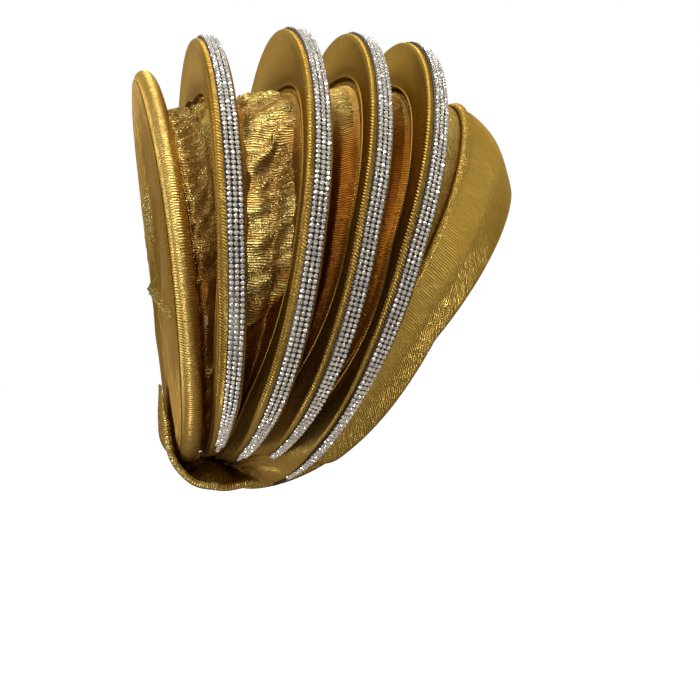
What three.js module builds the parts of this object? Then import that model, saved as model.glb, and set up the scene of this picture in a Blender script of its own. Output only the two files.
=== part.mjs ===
// A ready-tied turban: a cloth cap that leans back from the brow, with four padded pleats that fan out
// from the nape. Each pleat carries a rhinestone band along its edge. A ribbed band frames the face, and
// a padded oval with a gathered drape closes the back. Millimetres, +Z up, the wearer faces -Y.
// The origin is the head seat: the point inside the crown that rests on top of the head.
import * as THREE from "three";

// Driving dimensions

const CLEARANCE = 0.3;          // between two pieces that touch
const CLOTH = 2;                // wall of the crown
const BAND_CLOTH = 2.4;         // doubled cloth of the front band
const BAND_ROLL = 4.5;          // rolled rear edge of the front band
const BAND_END = 142.5;         // angle at which the band tucks under the last pleat
const PLEAT_END = 157.5;        // angle at which the pleats run out
const DRAW_FROM = 95;           // angles between which the crown's cloth draws in towards the nape
const DRAW_TO = 165;
const TURN_FROM = 90;           // angles between which the pleats turn to lie on each other like shingles
const TURN_TO = 140;
const TAPER_FROM = 130;         // angle from which the pleats thin towards their ends
const PLEAT_THICKNESS = 14.5;   // padded pleat at its edge
const PLEAT_WAIST = 11;         // padded pleat half way up
const PLEAT_FOOT = 12;          // padded pleat where it stands on the crown
const PLEAT_SHARE = 0.68;       // the most of the way to the next pleat that one may fill
const TAPE_WIDTH = 8.8;         // rhinestone band
const TAPE_THICKNESS = 2;
const TAPE_OFFSET = 1;          // the band lies a little to the front of the pleat's middle
const PAD_THICKNESS = 12.5;     // padded oval at the back
const PAD_REACH = 0.95;         // share of the oval that is flat
const PAD_GAP = 2;              // between the crown's back edge and the pad
const DRAPE_REACH = 0.93;       // share of the oval that the drape covers
const DRAPE_CLOTH = 1.6;
const DRAPE_SWELL = 0.6;        // bunched layers under the middle of the drape
const KNOT_HEIGHT = 3;          // gathered knot, proud of the drape
const KNOT_REACH = 0.25;        // share of the drape that the knot takes up
const DRAPE_OUTSIDE = [0.12, 0.3, 0.5, 0.75, 1];   // rings of the drape's outer and inner faces
const DRAPE_INSIDE = [1, 0.65, 0.3];
const SLING_CLOTH = 2.2;
const SLING_HEM = 4.4;
const LOW_FULLNESS = 0.22;      // how much wider a ring is towards the nape than a plain oval
const STEP = 7.5;               // degrees between the stations round a ring

const SATIN = { color: 0xb08a3c, roughness: 0.4, metalness: 0.65 };
const RIBBED = { color: 0xa98236, roughness: 0.4, metalness: 0.65 };
const GATHERED = { color: 0x8f6a2a, roughness: 0.45, metalness: 0.6 };
const CRYSTAL = { color: 0xc9c9cf, roughness: 0.15, metalness: 0.3 };

// Rings of the fan. Each is an oval in a plane that stands on the nape and leans forward or back:
// its highest point, its lowest point at the nape, its half width, and how far it bows forward, at half
// height and lower down.

// The padded oval's rim, and the pleats' edges with the share of its thickness that each keeps at its ends.
const PAD = { topY: 142.5, topZ: -6.4, napeY: 114, napeZ: -257, halfWidth: 94, bow: 3.5 };
const PLEATS = [
  { topY: 107, topZ: 14, napeY: 102, napeZ: -252, halfWidth: 124, bow: 2.2, lowBow: 2.6, end: 0.8 },
  { topY: 53, topZ: 25, napeY: 90, napeZ: -255, halfWidth: 135, bow: 9.4, lowBow: 2.8, end: 0.7 },
  { topY: 9.5, topZ: 28, napeY: 74.6, napeZ: -257, halfWidth: 131.5, bow: 10.7, lowBow: 8, end: 0.3 },
  { topY: -32.5, topZ: 28, napeY: 68.7, napeZ: -271.5, halfWidth: 129, bow: 14, lowBow: 8, end: 0.5 },
];

// How deep below the pad's rim and the pleats' edges the crown's cloth meets them: at the top, at the sides,
// and the angles between which it rises from the one to the other.
const DEPTHS = [
  { top: 25, side: 10, from: 22, to: 62 },
  { top: 38, side: 10, from: 22, to: 62 },
  { top: 42, side: 14, from: 20, to: 60 },
  { top: 37, side: 15, from: 10, to: 56 },
  { top: 36, side: 19, from: 10, to: 56 },
];

// Where the crown's cloth draws together towards the nape: behind the pad's front, and under each pleat.
const NAPE_RINGS = [
  { topY: 131.2, topZ: -30, napeY: 106, napeZ: -248, halfWidth: 72, bow: 3.6 },
  { topY: 107, topZ: -19, napeY: 102.3, napeZ: -250, halfWidth: 83, bow: 3, lowBow: 2.6 },
  { topY: 53, topZ: -5, napeY: 96, napeZ: -252, halfWidth: 91, bow: 9.4, lowBow: 2.8 },
  { topY: 9.5, topZ: 2.5, napeY: 91, napeZ: -255, halfWidth: 91, bow: 12, lowBow: 8 },
  { topY: -32.5, topZ: 0, napeY: 88, napeZ: -259.3, halfWidth: 89, bow: 14, lowBow: 8 },
];

// The front of the crown, under the band.
const BAND_REAR = { topY: -70, topZ: -7.5, napeY: 86, napeZ: -264, halfWidth: 88.5, bow: 18, lowBow: 6 };
const BAND_MIDDLE = {
  topY: -98.5, topZ: -25.5, napeY: 82.5, napeZ: -271, halfWidth: 83, bow: 18, lowBow: 18,
};
const BAND_FRONT = { topY: -113, topZ: -57, napeY: 80.5, napeZ: -274.5, halfWidth: 80, bow: 15, lowBow: 28 };

// How far the cloth sags between the pad and the first pleat, and between one pleat and the next: at the
// top, and at the sides.
const SAGS = [
  { top: 4, side: 10 },
  { top: 3, side: 12 },
  { top: 3, side: 10 },
  { top: 3, side: 9 },
];
const SAG_FROM = 35;            // angles between which the sag grows
const SAG_TO = 90;

// Gathers of the two rear valleys: angle from the top, height, angular width.
const GATHERS = [
  { valley: 0, angle: 12, height: 2.5, width: 7 },
  { valley: 0, angle: 34, height: 3, width: 7 },
  { valley: 0, angle: 57, height: 3.5, width: 8 },
  { valley: 0, angle: 80, height: 3, width: 7 },
  { valley: 0, angle: 105, height: 2.5, width: 8 },
  { valley: 1, angle: 8, height: 3, width: 7 },
  { valley: 1, angle: 28, height: 4, width: 8 },
  { valley: 1, angle: 50, height: 4.5, width: 8 },
  { valley: 1, angle: 73, height: 4, width: 8 },
  { valley: 1, angle: 96, height: 3.5, width: 8 },
  { valley: 1, angle: 120, height: 2.5, width: 8 },
];

// The rounded corner of a pleat's edge: how far below the edge and how far from its middle, as shares of
// half the pleat's thickness.
const PLEAT_CORNER = [
  { drop: 0.4, half: 1 },
  { drop: 0.12, half: 0.86 },
  { drop: 0, half: 0.6 },
];

// The rolled rear edge of the front band: share of the way to the band's middle, and share of the roll's
// height.
const ROLL_OUTLINE = [
  { way: 0, height: 0.85 },
  { way: 0.06, height: 1 },
  { way: 0.12, height: 0.8 },
];
const ROLL_END = 0.2;           // share of the way to the band's middle where the roll has run out
const ROLL_SEAT = 0.4;          // under the roll
const BAND_NOSE = 2;            // folded front edge, ahead of the crown's

// Half the outline of the padded oval, from its middle to its rim: share of the way out, and share of half
// its thickness.
const PAD_OUTLINE = [
  { reach: 0.3, ahead: 1 },
  { reach: 0.62, ahead: 1 },
  { reach: PAD_REACH, ahead: 1 },
  { reach: 0.975, ahead: 0.65 },
];

// Folds of the back drape: each runs from the knot to the rim, at an angle from the top of the pad.
const DRAPE_FOLDS = [
  { angle: 22, height: 2, width: 12 },
  { angle: 58, height: 3, width: 12 },
  { angle: 95, height: 2.5, width: 12 },
  { angle: 130, height: 2, width: 12 },
];

// The sling under the nape, seen from the side: from the crown it passes below the pad and rises behind it,
// as a tongue that narrows upwards. Its middle lies higher than its hems, against the gathered nape.
const SLING = [
  { y: 91, z: -268, halfWidth: 44, middle: 10 },
  { y: 101, z: -266, halfWidth: 51, middle: 13.5 },
  { y: 114.5, z: -261.5, halfWidth: 50, middle: 3 },
  { y: 125.5, z: -248, halfWidth: 41, middle: 0 },
  { y: 128.3, z: -228, halfWidth: 28, middle: 0 },
  { y: 130.4, z: -206, halfWidth: 14, middle: 0 },
];
const SLING_REACH = 157.5;      // angle on the crown's middle front ring where the hems start
const HEM_FROM = 0.95;          // share of the half width beyond which the sling is rolled
const SLING_STATIONS = 10;

// Helpers

const vector = (x, y, z) => new THREE.Vector3(x, y, z);
const radians = THREE.MathUtils.degToRad;
const HEAD_MIDDLE = vector(0, 10, -130);

function angles(from, to) {
  const count = Math.round((to - from) / STEP);
  return Array.from({ length: count + 1 }, (_, i) => from + i * STEP);
}

const FULL_TURN = angles(-180, 180 - STEP);

// The plane of a ring: where it stands, which way it rises, and which way is forward.
function plane(row) {
  const nape = vector(0, row.napeY, row.napeZ);
  const rise = vector(0, row.topY, row.topZ).sub(nape);
  const length = rise.length();
  rise.normalize();
  return { nape, rise, length, forward: vector(0, -rise.z, rise.y) };
}

// A point on a ring. The angle is 0 at the top and 180 at the nape, positive on the wearer's left.
function ringPoint(row, angle) {
  const { nape, rise, length, forward } = plane(row);
  const turn = radians(angle);
  const low = Math.max(0, -Math.cos(turn));
  const point = nape.clone();
  point.addScaledVector(rise, (length / 2) * (1 + Math.cos(turn)));
  point.addScaledVector(forward, (row.bow + (row.lowBow ?? 0) * low) * Math.sin(turn) ** 2);
  point.x = row.halfWidth * Math.sin(turn) * (1 + LOW_FULLNESS * low * low);
  return point;
}

// The way a ring runs at an angle, from two points a degree to either side.
function ringDirection(row, angle) {
  return ringPoint(row, angle + 1).sub(ringPoint(row, angle - 1)).normalize();
}

function bump(distance, width) {
  return Math.exp(-((distance / width) ** 2));
}

// Where the crown's cloth meets the pad or a pleat: a depth below its edge in the edge's own plane, and
// nearer the nape, the ring on which the cloth draws together.
function meeting(edge, number, angle) {
  const away = Math.abs(angle);
  const { top, side, from, to } = DEPTHS[number];
  const depth = top + (side - top) * THREE.MathUtils.smoothstep(away, from, to);
  const along = ringDirection(edge, angle);
  const inward = along.cross(plane(edge).forward).normalize();
  const point = ringPoint(edge, angle).addScaledVector(inward, depth);
  const draw = THREE.MathUtils.smoothstep(away, DRAW_FROM, DRAW_TO);
  return point.lerp(ringPoint(NAPE_RINGS[number], angle), draw);
}

// Skins a row of closed outlines that have the same number of points. The ends are joined up, or each is
// closed: by a fan from its middle, or, where the outline is a wall's, straight across the wall.
function skin(outlines, { joined = false, wall = false } = {}) {
  const size = outlines[0].length;
  const points = outlines.flat();
  const faces = [];
  const spans = joined ? outlines.length : outlines.length - 1;
  for (let i = 0; i < spans; i += 1) {
    const here = i * size;
    const next = ((i + 1) % outlines.length) * size;
    for (let j = 0; j < size; j += 1) {
      const k = (j + 1) % size;
      faces.push(here + j, here + k, next + k);
      faces.push(here + j, next + k, next + j);
    }
  }
  const ends = joined ? [] : [{ start: 0, way: -1 }, { start: points.length - size, way: 1 }];
  for (const { start, way } of ends) {
    const loop = outlines[start === 0 ? 0 : outlines.length - 1].map((_, j) => start + j);
    if (way < 0) loop.reverse();
    if (wall) {
      for (let j = 0; j < size / 2 - 1; j += 1) {
        const far = size - 1 - j;
        faces.push(loop[j], loop[j + 1], loop[far - 1], loop[j], loop[far - 1], loop[far]);
      }
    } else {
      const middle = vector(0, 0, 0);
      loop.forEach((j) => middle.addScaledVector(points[j], 1 / size));
      const centre = points.push(middle) - 1;
      loop.forEach((j, at) => faces.push(centre, j, loop[(at + 1) % size]));
    }
  }
  return closedGeometry(points, faces);
}

// Turns the faces outwards if the body came out inside out.
function closedGeometry(points, faces) {
  const corner = vector(0, 0, 0);
  let volume = 0;
  for (let i = 0; i < faces.length; i += 3) {
    const [a, b, c] = [points[faces[i]], points[faces[i + 1]], points[faces[i + 2]]];
    volume += corner.crossVectors(b, c).dot(a);
  }
  const outward = volume < 0 ? [...faces].reverse() : faces;
  const geometry = new THREE.BufferGeometry().setFromPoints(points);
  geometry.setIndex(outward);
  geometry.computeVertexNormals();
  return geometry;
}

function piece(name, geometry, finish) {
  const mesh = new THREE.Mesh(geometry, new THREE.MeshStandardMaterial(finish));
  mesh.name = name;
  return mesh;
}

const edgePlaces = (angle) => [PAD, ...PLEATS, BAND_FRONT].map((row) => ringPoint(row, angle));

// The direction of a pleat's thickness: forward, and nearer the nape, from one neighbour to the other.
function across(index, angle) {
  const edge = PLEATS[index];
  const places = edgePlaces(angle);
  const along = ringDirection(edge, angle);
  const apart = places[index + 2].sub(places[index]);
  apart.addScaledVector(along, -apart.dot(along)).normalize();
  const turn = THREE.MathUtils.smoothstep(Math.abs(angle), TURN_FROM, TURN_TO);
  return plane(edge).forward.lerp(apart, turn).normalize();
}

// How wide a pleat may be: its own width, or its share of the way to its neighbours' places.
function pleatWidth(wanted, places, index, angle) {
  const direction = across(index, angle);
  const room = [places[index], places[index + 2]].map((place) => (
    PLEAT_SHARE * Math.abs(place.clone().sub(places[index + 1]).dot(direction))
  ));
  const thin = THREE.MathUtils.smoothstep(Math.abs(angle), TAPER_FROM, PLEAT_END);
  return Math.min(wanted, ...room) * THREE.MathUtils.lerp(1, PLEATS[index].end, thin);
}

// Crown: stations from back to front, with two under each pleat so that the pleat stands on a flat, and
// one in each valley.
function crownStations(angle) {
  const back = meeting(PAD, 0, angle);
  const draw = THREE.MathUtils.smoothstep(Math.abs(angle), DRAW_FROM, DRAW_TO);
  const beside = THREE.MathUtils.smoothstep(Math.abs(angle), SAG_FROM, SAG_TO);
  back.addScaledVector(plane(PAD).forward, (PAD_THICKNESS / 2 + PAD_GAP) * (1 - draw));
  const feet = PLEATS.map((edge, index) => meeting(edge, index + 1, angle));
  const places = [back, ...feet, ringPoint(BAND_REAR, angle)];
  const stations = [back];
  feet.forEach((foot, index) => {
    const inward = HEAD_MIDDLE.clone().sub(foot).normalize();
    const valley = places[index].clone().lerp(foot, 0.5);
    const sag = THREE.MathUtils.lerp(SAGS[index].top, SAGS[index].side, beside);
    stations.push(valley.addScaledVector(inward, sag * (1 - draw)));
    const half = pleatWidth(PLEAT_FOOT, places, index, angle) / 2;
    const thickness = across(index, angle);
    stations.push(foot.clone().addScaledVector(thickness, -half));
    stations.push(foot.clone().addScaledVector(thickness, half));
  });
  return [...stations, ...[BAND_REAR, BAND_MIDDLE, BAND_FRONT].map((row) => ringPoint(row, angle))];
}

const valleyStation = (index) => 1 + 3 * index;
const footStation = (index) => 2 + 3 * index;
const BAND_STATION = valleyStation(PLEATS.length);

// Outward directions of the crown at each station, from its neighbours along and across.
function crownGrid() {
  const grid = FULL_TURN.map(crownStations);
  const count = grid[0].length;
  const outward = grid.map((row, i) => row.map((_, j) => {
    const before = grid[(i + grid.length - 1) % grid.length][j];
    const after = grid[(i + 1) % grid.length][j];
    const round = after.clone().sub(before);
    const along = row[Math.min(j + 1, count - 1)].clone().sub(row[Math.max(j - 1, 0)]);
    return round.cross(along).normalize();
  }));
  const sign = Math.sign(outward[FULL_TURN.indexOf(0)][footStation(1)].z);
  outward.flat().forEach((direction) => direction.multiplyScalar(sign));
  return { grid, outward };
}

const { grid: CROWN_GRID, outward: CROWN_OUTWARD } = crownGrid();

function crown() {
  const outlines = FULL_TURN.map((angle, i) => {
    const outer = CROWN_GRID[i].map((p) => p.clone());
    for (const gather of GATHERS) {
      const station = valleyStation(gather.valley);
      const lift = gather.height * bump(Math.abs(angle) - gather.angle, gather.width);
      outer[station].addScaledVector(CROWN_OUTWARD[i][station], lift);
    }
    const inner = outer.map((p, j) => p.clone().addScaledVector(CROWN_OUTWARD[i][j], -CLOTH));
    return [...outer, ...inner.reverse()];
  });
  return piece("crown", skin(outlines, { joined: true }), GATHERED);
}

// Where a pleat stands and how far it rises at an angle: the flat of the crown under it, and its edge.
function pleatFrame(index, angle) {
  const row = FULL_TURN.indexOf(angle);
  const station = footStation(index);
  const clear = (j) => CROWN_GRID[row][j].clone().addScaledVector(CROWN_OUTWARD[row][j], CLEARANCE);
  const edge = PLEATS[index];
  const top = ringPoint(edge, angle);
  const feet = [clear(station), clear(station + 1)];
  const foot = feet[0].clone().lerp(feet[1], 0.5);
  const up = top.clone().sub(foot);
  const height = up.length();
  up.normalize();
  return { feet, foot, up, height, thickness: across(index, angle) };
}

// Padded pleat: a slab that rises from the crown, with a flat edge and round corners.
function pleat(index) {
  const outlines = angles(-PLEAT_END, PLEAT_END).map((angle) => {
    const { feet, foot, up, height, thickness } = pleatFrame(index, angle);
    const edgeHalf = pleatWidth(PLEAT_THICKNESS, edgePlaces(angle), index, angle) / 2;
    const footHalf = feet[0].distanceTo(feet[1]) / 2;
    const waistHalf = Math.min((PLEAT_WAIST / PLEAT_THICKNESS) * edgeHalf, (footHalf + edgeHalf) / 2);
    const corner = PLEAT_CORNER.map(({ drop, half }) => (
      { rise: height - drop * edgeHalf, half: half * edgeHalf }
    ));
    const profile = [{ rise: height / 2, half: waistHalf }, ...corner];
    const side = (sign) => profile.map(({ rise, half }) => (
      foot.clone().addScaledVector(up, rise).addScaledVector(thickness, sign * half)
    ));
    return [feet[1], ...side(1), ...side(-1).reverse(), feet[0]];
  });
  return piece(`fin_${index + 1}`, skin(outlines), SATIN);
}

// Rhinestone band: a tape along the edge of a pleat.
function rhinestoneBand(index) {
  const outlines = angles(-PLEAT_END, PLEAT_END).map((angle) => {
    const { foot, up, height, thickness } = pleatFrame(index, angle);
    const share = pleatWidth(PLEAT_THICKNESS, edgePlaces(angle), index, angle) / PLEAT_THICKNESS;
    const corner = (side, rise) => foot.clone()
      .addScaledVector(up, height + rise)
      .addScaledVector(thickness, share * (TAPE_OFFSET + side * TAPE_WIDTH / 2));
    const top = CLEARANCE + TAPE_THICKNESS;
    return [corner(-1, CLEARANCE), corner(-1, top), corner(1, top), corner(1, CLEARANCE)];
  });
  return piece(`rhinestone_band_${index + 1}`, skin(outlines), CRYSTAL);
}

// Front band: doubled cloth over the front of the crown, with a rolled rear edge and a folded front.
function frontBand() {
  const outlines = angles(-BAND_END, BAND_END).map((angle) => {
    const row = FULL_TURN.indexOf(angle);
    const [rear, middle, front] = CROWN_GRID[row].slice(BAND_STATION);
    const [rearOut, middleOut, frontOut] = CROWN_OUTWARD[row].slice(BAND_STATION);
    const ahead = front.clone().sub(middle).normalize();
    const roll = BAND_ROLL - (BAND_ROLL - BAND_CLOTH) * (angle / BAND_END) ** 4;
    const lift = (point, out, height) => point.clone().addScaledVector(out, CLEARANCE + height);
    const along = (share) => rear.clone().lerp(middle, share);
    return [
      lift(rear, rearOut, ROLL_SEAT),
      ...ROLL_OUTLINE.map(({ way, height }) => lift(along(way), rearOut, height * roll)),
      lift(along(ROLL_END), rearOut, BAND_CLOTH),
      lift(middle, middleOut, BAND_CLOTH),
      lift(front, frontOut, BAND_CLOTH).addScaledVector(ahead, BAND_NOSE / 2),
      lift(front, frontOut, CLEARANCE).addScaledVector(ahead, BAND_NOSE),
      lift(front, frontOut, CLEARANCE),
      lift(middle, middleOut, CLEARANCE),
    ];
  });
  return piece("front_band", skin(outlines), RIBBED);
}

// A place on the pad: the angle round it, the share of the way from its middle to its rim, and how far
// ahead of its middle plane. The pad bends with its rim, so its bow depends on the height alone.
const PAD_PLANE = plane(PAD);

function padPoint(angle, reach, ahead) {
  const share = 0.5 + 0.5 * reach * Math.cos(radians(angle));
  return PAD_PLANE.nape.clone()
    .addScaledVector(PAD_PLANE.rise, share * PAD_PLANE.length)
    .addScaledVector(PAD_PLANE.forward, 4 * PAD.bow * share * (1 - share) + ahead)
    .setX(reach * ringPoint(PAD, angle).x);
}

// Back pad: a padded oval, from the middle of its front face round its rim to the middle of its back.
function backPad() {
  const half = PAD_THICKNESS / 2;
  const face = (way) => PAD_OUTLINE.map(({ reach, ahead }) => ({ reach, ahead: way * ahead * half }));
  const profile = [...face(1), { reach: 1, ahead: 0 }, ...face(-1).reverse()];
  const ring = ({ reach, ahead }) => FULL_TURN.map((angle) => padPoint(angle, reach, ahead));
  const outlines = profile.map(ring);
  return piece("back_pad", skin(outlines), SATIN);
}

// Back drape: bunched cloth on the back of the pad, with folds that run from a knot to the rim.
function backDrape() {
  const floor = PAD_THICKNESS / 2 + CLEARANCE;
  const fold = (angle) => DRAPE_FOLDS.reduce((sum, { angle: at, height, width }) => (
    sum + height * bump(Math.abs(angle) - at, width)
  ), 0);
  const lift = (angle, reach) => DRAPE_CLOTH + DRAPE_SWELL * (1 - reach * reach)
    + KNOT_HEIGHT * bump(reach, KNOT_REACH) + fold(angle) * Math.sin(Math.PI * reach);
  const ring = (reach, height) => FULL_TURN.map((angle) => (
    padPoint(angle, reach * DRAPE_REACH, -floor - height(angle, reach))
  ));
  const outlines = [
    ...DRAPE_OUTSIDE.map((reach) => ring(reach, lift)),
    ...DRAPE_INSIDE.map((reach) => ring(reach, () => 0)),
  ];
  return piece("back_drape", skin(outlines), GATHERED);
}

// Nape sling: cloth from the crown's front edge, under the pad and up behind it, with rolled side hems.
function napeSling() {
  const station = BAND_STATION + 1;
  const hemX = Math.abs(ringPoint(BAND_MIDDLE, SLING_REACH).x);
  const lines = angles(SLING_REACH, 360 - SLING_REACH).map((angle) => {
    const row = FULL_TURN.indexOf(angle < 180 ? angle : angle - 360);
    const start = CROWN_GRID[row][station].clone();
    const share = start.x / hemX;
    const half = (Math.abs(share) > HEM_FROM ? SLING_HEM : SLING_CLOTH) / 2;
    start.addScaledVector(CROWN_OUTWARD[row][station], 2 * CLEARANCE + half);
    const rest = SLING.map(({ y, z, halfWidth, middle }) => (
      vector(share * halfWidth, y, z + middle * (1 - share * share))
    ));
    return { half, curve: new THREE.CatmullRomCurve3([start, ...rest]) };
  });
  const outlines = Array.from({ length: SLING_STATIONS + 1 }, (_, i) => {
    const t = i / SLING_STATIONS;
    const wall = lines.map(({ half, curve }) => {
      const tangent = curve.getTangent(t);
      const out = vector(0, tangent.z, -tangent.y).normalize().multiplyScalar(half);
      return { point: curve.getPoint(t), out };
    });
    const outer = wall.map(({ point, out }) => point.clone().add(out));
    const inner = wall.map(({ point, out }) => point.clone().sub(out));
    return [...outer, ...inner.reverse()];
  });
  return piece("nape_sling", skin(outlines, { wall: true }), GATHERED);
}

const group = new THREE.Group();
group.add(crown());
PLEATS.forEach((_, index) => {
  group.add(pleat(index));
  group.add(rhinestoneBand(index));
});
group.add(frontBand());
group.add(backPad());
group.add(backDrape());
group.add(napeSling());

export default group;
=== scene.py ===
# %% [markdown]
# # A ready-tied turban in gold lame
# The cap leans back. Four padded pleats fan out from its nape, and each carries three rows of rhinestones on
# its edge. A ribbed band edges the front, a padded oval closes the back, and a sling of cloth comes from
# under the nape. The solid model gives the frame. It is loaded first.

# %% Load the frame
import math
from collections import namedtuple

import bmesh
import bpy
import numpy as np
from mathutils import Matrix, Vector, noise


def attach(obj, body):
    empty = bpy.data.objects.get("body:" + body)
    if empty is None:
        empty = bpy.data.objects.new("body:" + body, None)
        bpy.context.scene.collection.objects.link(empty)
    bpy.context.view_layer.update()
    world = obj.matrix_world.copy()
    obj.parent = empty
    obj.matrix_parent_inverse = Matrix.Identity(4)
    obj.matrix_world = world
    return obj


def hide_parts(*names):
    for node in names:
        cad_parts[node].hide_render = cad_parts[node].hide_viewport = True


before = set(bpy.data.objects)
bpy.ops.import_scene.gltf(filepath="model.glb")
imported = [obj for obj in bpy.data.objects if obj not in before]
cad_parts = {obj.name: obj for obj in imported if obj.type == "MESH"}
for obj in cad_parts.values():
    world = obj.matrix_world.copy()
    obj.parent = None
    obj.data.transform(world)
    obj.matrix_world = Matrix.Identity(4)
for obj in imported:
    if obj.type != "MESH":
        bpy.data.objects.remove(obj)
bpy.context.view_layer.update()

MM = 0.001

# %% [markdown]
# ## The camera
# The view is level, from the turban's right and a little behind, and quite near, so the far pleats look
# smaller. The camera stands on a circle round the upright axis, and its focal length comes from the image:
# the number of pixels that one unit sideways covers at one unit's distance.

# %% Camera
IMAGE_SIDE = 700
FOCAL_PIXELS = 735
HORIZON_ROW = 345
CAMERA_DISTANCE = 0.52
CAMERA_SWING = math.radians(18)
CAMERA_HEIGHT = -0.18
SENSOR = 36
NEAREST = 0.02


def add_object(name, data):
    """A new object in the scene."""
    item = bpy.data.objects.new(name, data)
    bpy.context.scene.collection.objects.link(item)
    return item


look = Vector((math.cos(CAMERA_SWING), -math.sin(CAMERA_SWING), 0))
camera_data = bpy.data.cameras.new("camera")
camera_data.sensor_width = SENSOR
camera_data.lens = SENSOR * FOCAL_PIXELS / IMAGE_SIDE
camera_data.shift_y = (HORIZON_ROW - IMAGE_SIDE / 2) / IMAGE_SIDE
camera_data.clip_start = NEAREST
camera = add_object("camera", camera_data)
camera.location = Vector((0, 0, CAMERA_HEIGHT)) - look * CAMERA_DISTANCE
camera.rotation_euler = look.to_track_quat("-Z", "Y").to_euler()
bpy.context.scene.camera = camera
print("camera at", [round(v, 3) for v in camera.location], "lens", round(camera_data.lens, 1))

# %% [markdown]
# ## The rings of the fan
# Every edge lies on an oval that stands on the nape and leans forward or back. A table gives each oval's
# top, its foot at the nape, its half width and its forward bow, in millimetres. A function turns an oval and
# an angle into a point, so all the pieces share one rule and meet each other.

# %% Rings
Ring = namedtuple("Ring", "top_y top_z nape_y nape_z half_width bow low_bow", defaults=(0.0,))
PAD_RING = Ring(142.5, -6.4, 114, -257, 94, 3.5)
EDGE_RINGS = [
    Ring(107, 14, 102, -252, 124, 2.2, 2.6),
    Ring(53, 25, 90, -255, 135, 9.4, 2.8),
    Ring(9.5, 28, 74.6, -257, 131.5, 10.7, 8),
    Ring(-32.5, 28, 68.7, -271.5, 129, 14, 8),
]
NAPE_RINGS = [
    Ring(131.2, -30, 106, -248, 72, 3.6),
    Ring(107, -19, 102.3, -250, 83, 3, 2.6),
    Ring(53, -5, 96, -252, 91, 9.4, 2.8),
    Ring(9.5, 2.5, 91, -255, 91, 12, 8),
    Ring(-32.5, 0, 88, -259.3, 89, 14, 8),
]
BAND_RINGS = [
    Ring(-70, -7.5, 86, -264, 88.5, 18, 6),
    Ring(-98.5, -25.5, 82.5, -271, 83, 18, 18),
    Ring(-113, -57, 80.5, -274.5, 80, 15, 28),
]
LOW_FULLNESS = 0.22


def unit(vectors):
    return vectors / np.linalg.norm(vectors, axis=-1, keepdims=True)


def smooth_step(low, high, value):
    """Goes smoothly from 0 at low to 1 at high, where low may also be the larger."""
    t = np.clip((value - low) / (high - low), 0, 1)
    return t * t * (3 - 2 * t)


def ring_ends(ring):
    """A ring's foot at the nape, and its top."""
    return np.array([0, ring.nape_y, ring.nape_z]), np.array([0, ring.top_y, ring.top_z])


def plane_forward(ring):
    """The direction that a ring's own plane faces."""
    nape, top = ring_ends(ring)
    rise = unit(top - nape)
    return np.array([0, -rise[2], rise[1]])


def ring_point(ring, angle):
    """Points on an oval. Angle 0 is the top and pi the nape, positive towards +X."""
    nape, top = ring_ends(ring)
    low = np.clip(-np.cos(angle), 0, None)
    up = (0.5 + 0.5 * np.cos(angle))[..., None]
    ahead = ((ring.bow + ring.low_bow * low) * np.sin(angle) ** 2)[..., None]
    point = nape + (top - nape) * up + plane_forward(ring) * ahead
    point[..., 0] = ring.half_width * np.sin(angle) * (1 + LOW_FULLNESS * low ** 2)
    return point


print("edges:", len(EDGE_RINGS), "front rings:", len(BAND_RINGS))

# %% [markdown]
# ## Where the cloth meets the pleats
# The crown's cloth meets the pad and each pleat some way below its edge: deep at the top, and close to it at
# the sides. Towards the nape all the cloth draws together, and the pleats turn to lie on each other like
# shingles, so each one gets only its share of the gap to its neighbours.

# %% Meetings and room
Depth = namedtuple("Depth", "top side start end")
DEPTHS = [Depth(25, 10, 22, 62), Depth(38, 10, 22, 62), Depth(42, 14, 20, 60), Depth(37, 15, 10, 56),
          Depth(36, 19, 10, 56)]
DRAW_FROM, DRAW_TO = math.radians(95), math.radians(165)
TURN_FROM, TURN_TO = math.radians(90), math.radians(140)
TAPER_FROM, TAPER_TO = math.radians(130), math.radians(157.5)
PLEAT_SHARE = 0.68
PLEAT_ENDS = [0.85, 0.8, 0.5, 0.7]
ANGLE_STEP = 0.01


def along_ring(ring, angle):
    """Which way a ring runs at an angle."""
    return ring_point(ring, angle + ANGLE_STEP) - ring_point(ring, angle - ANGLE_STEP)


def meeting(number, angle):
    """Where the crown's cloth meets the pad (number 0) or a pleat."""
    edge, depth = [PAD_RING, *EDGE_RINGS][number], DEPTHS[number]
    rise = smooth_step(math.radians(depth.start), math.radians(depth.end), np.abs(angle))
    below = depth.top + (depth.side - depth.top) * rise
    inward = unit(np.cross(along_ring(edge, angle), plane_forward(edge)))
    point = ring_point(edge, angle) + inward * below[..., None]
    draw = smooth_step(DRAW_FROM, DRAW_TO, np.abs(angle))[..., None]
    return point + (ring_point(NAPE_RINGS[number], angle) - point) * draw


def edge_places(angle):
    return [ring_point(ring, angle) for ring in (PAD_RING, *EDGE_RINGS, BAND_RINGS[2])]


def pleat_across(index, angle):
    """The direction of a pleat's thickness: forward, and near the nape from one neighbour to the other."""
    edge, places = EDGE_RINGS[index], edge_places(angle)
    along = unit(along_ring(edge, angle))
    apart = places[index + 2] - places[index]
    apart = unit(apart - along * np.sum(apart * along, axis=-1, keepdims=True))
    turn = smooth_step(TURN_FROM, TURN_TO, np.abs(angle))[..., None]
    return unit(plane_forward(edge) * (1 - turn) + apart * turn)


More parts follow.
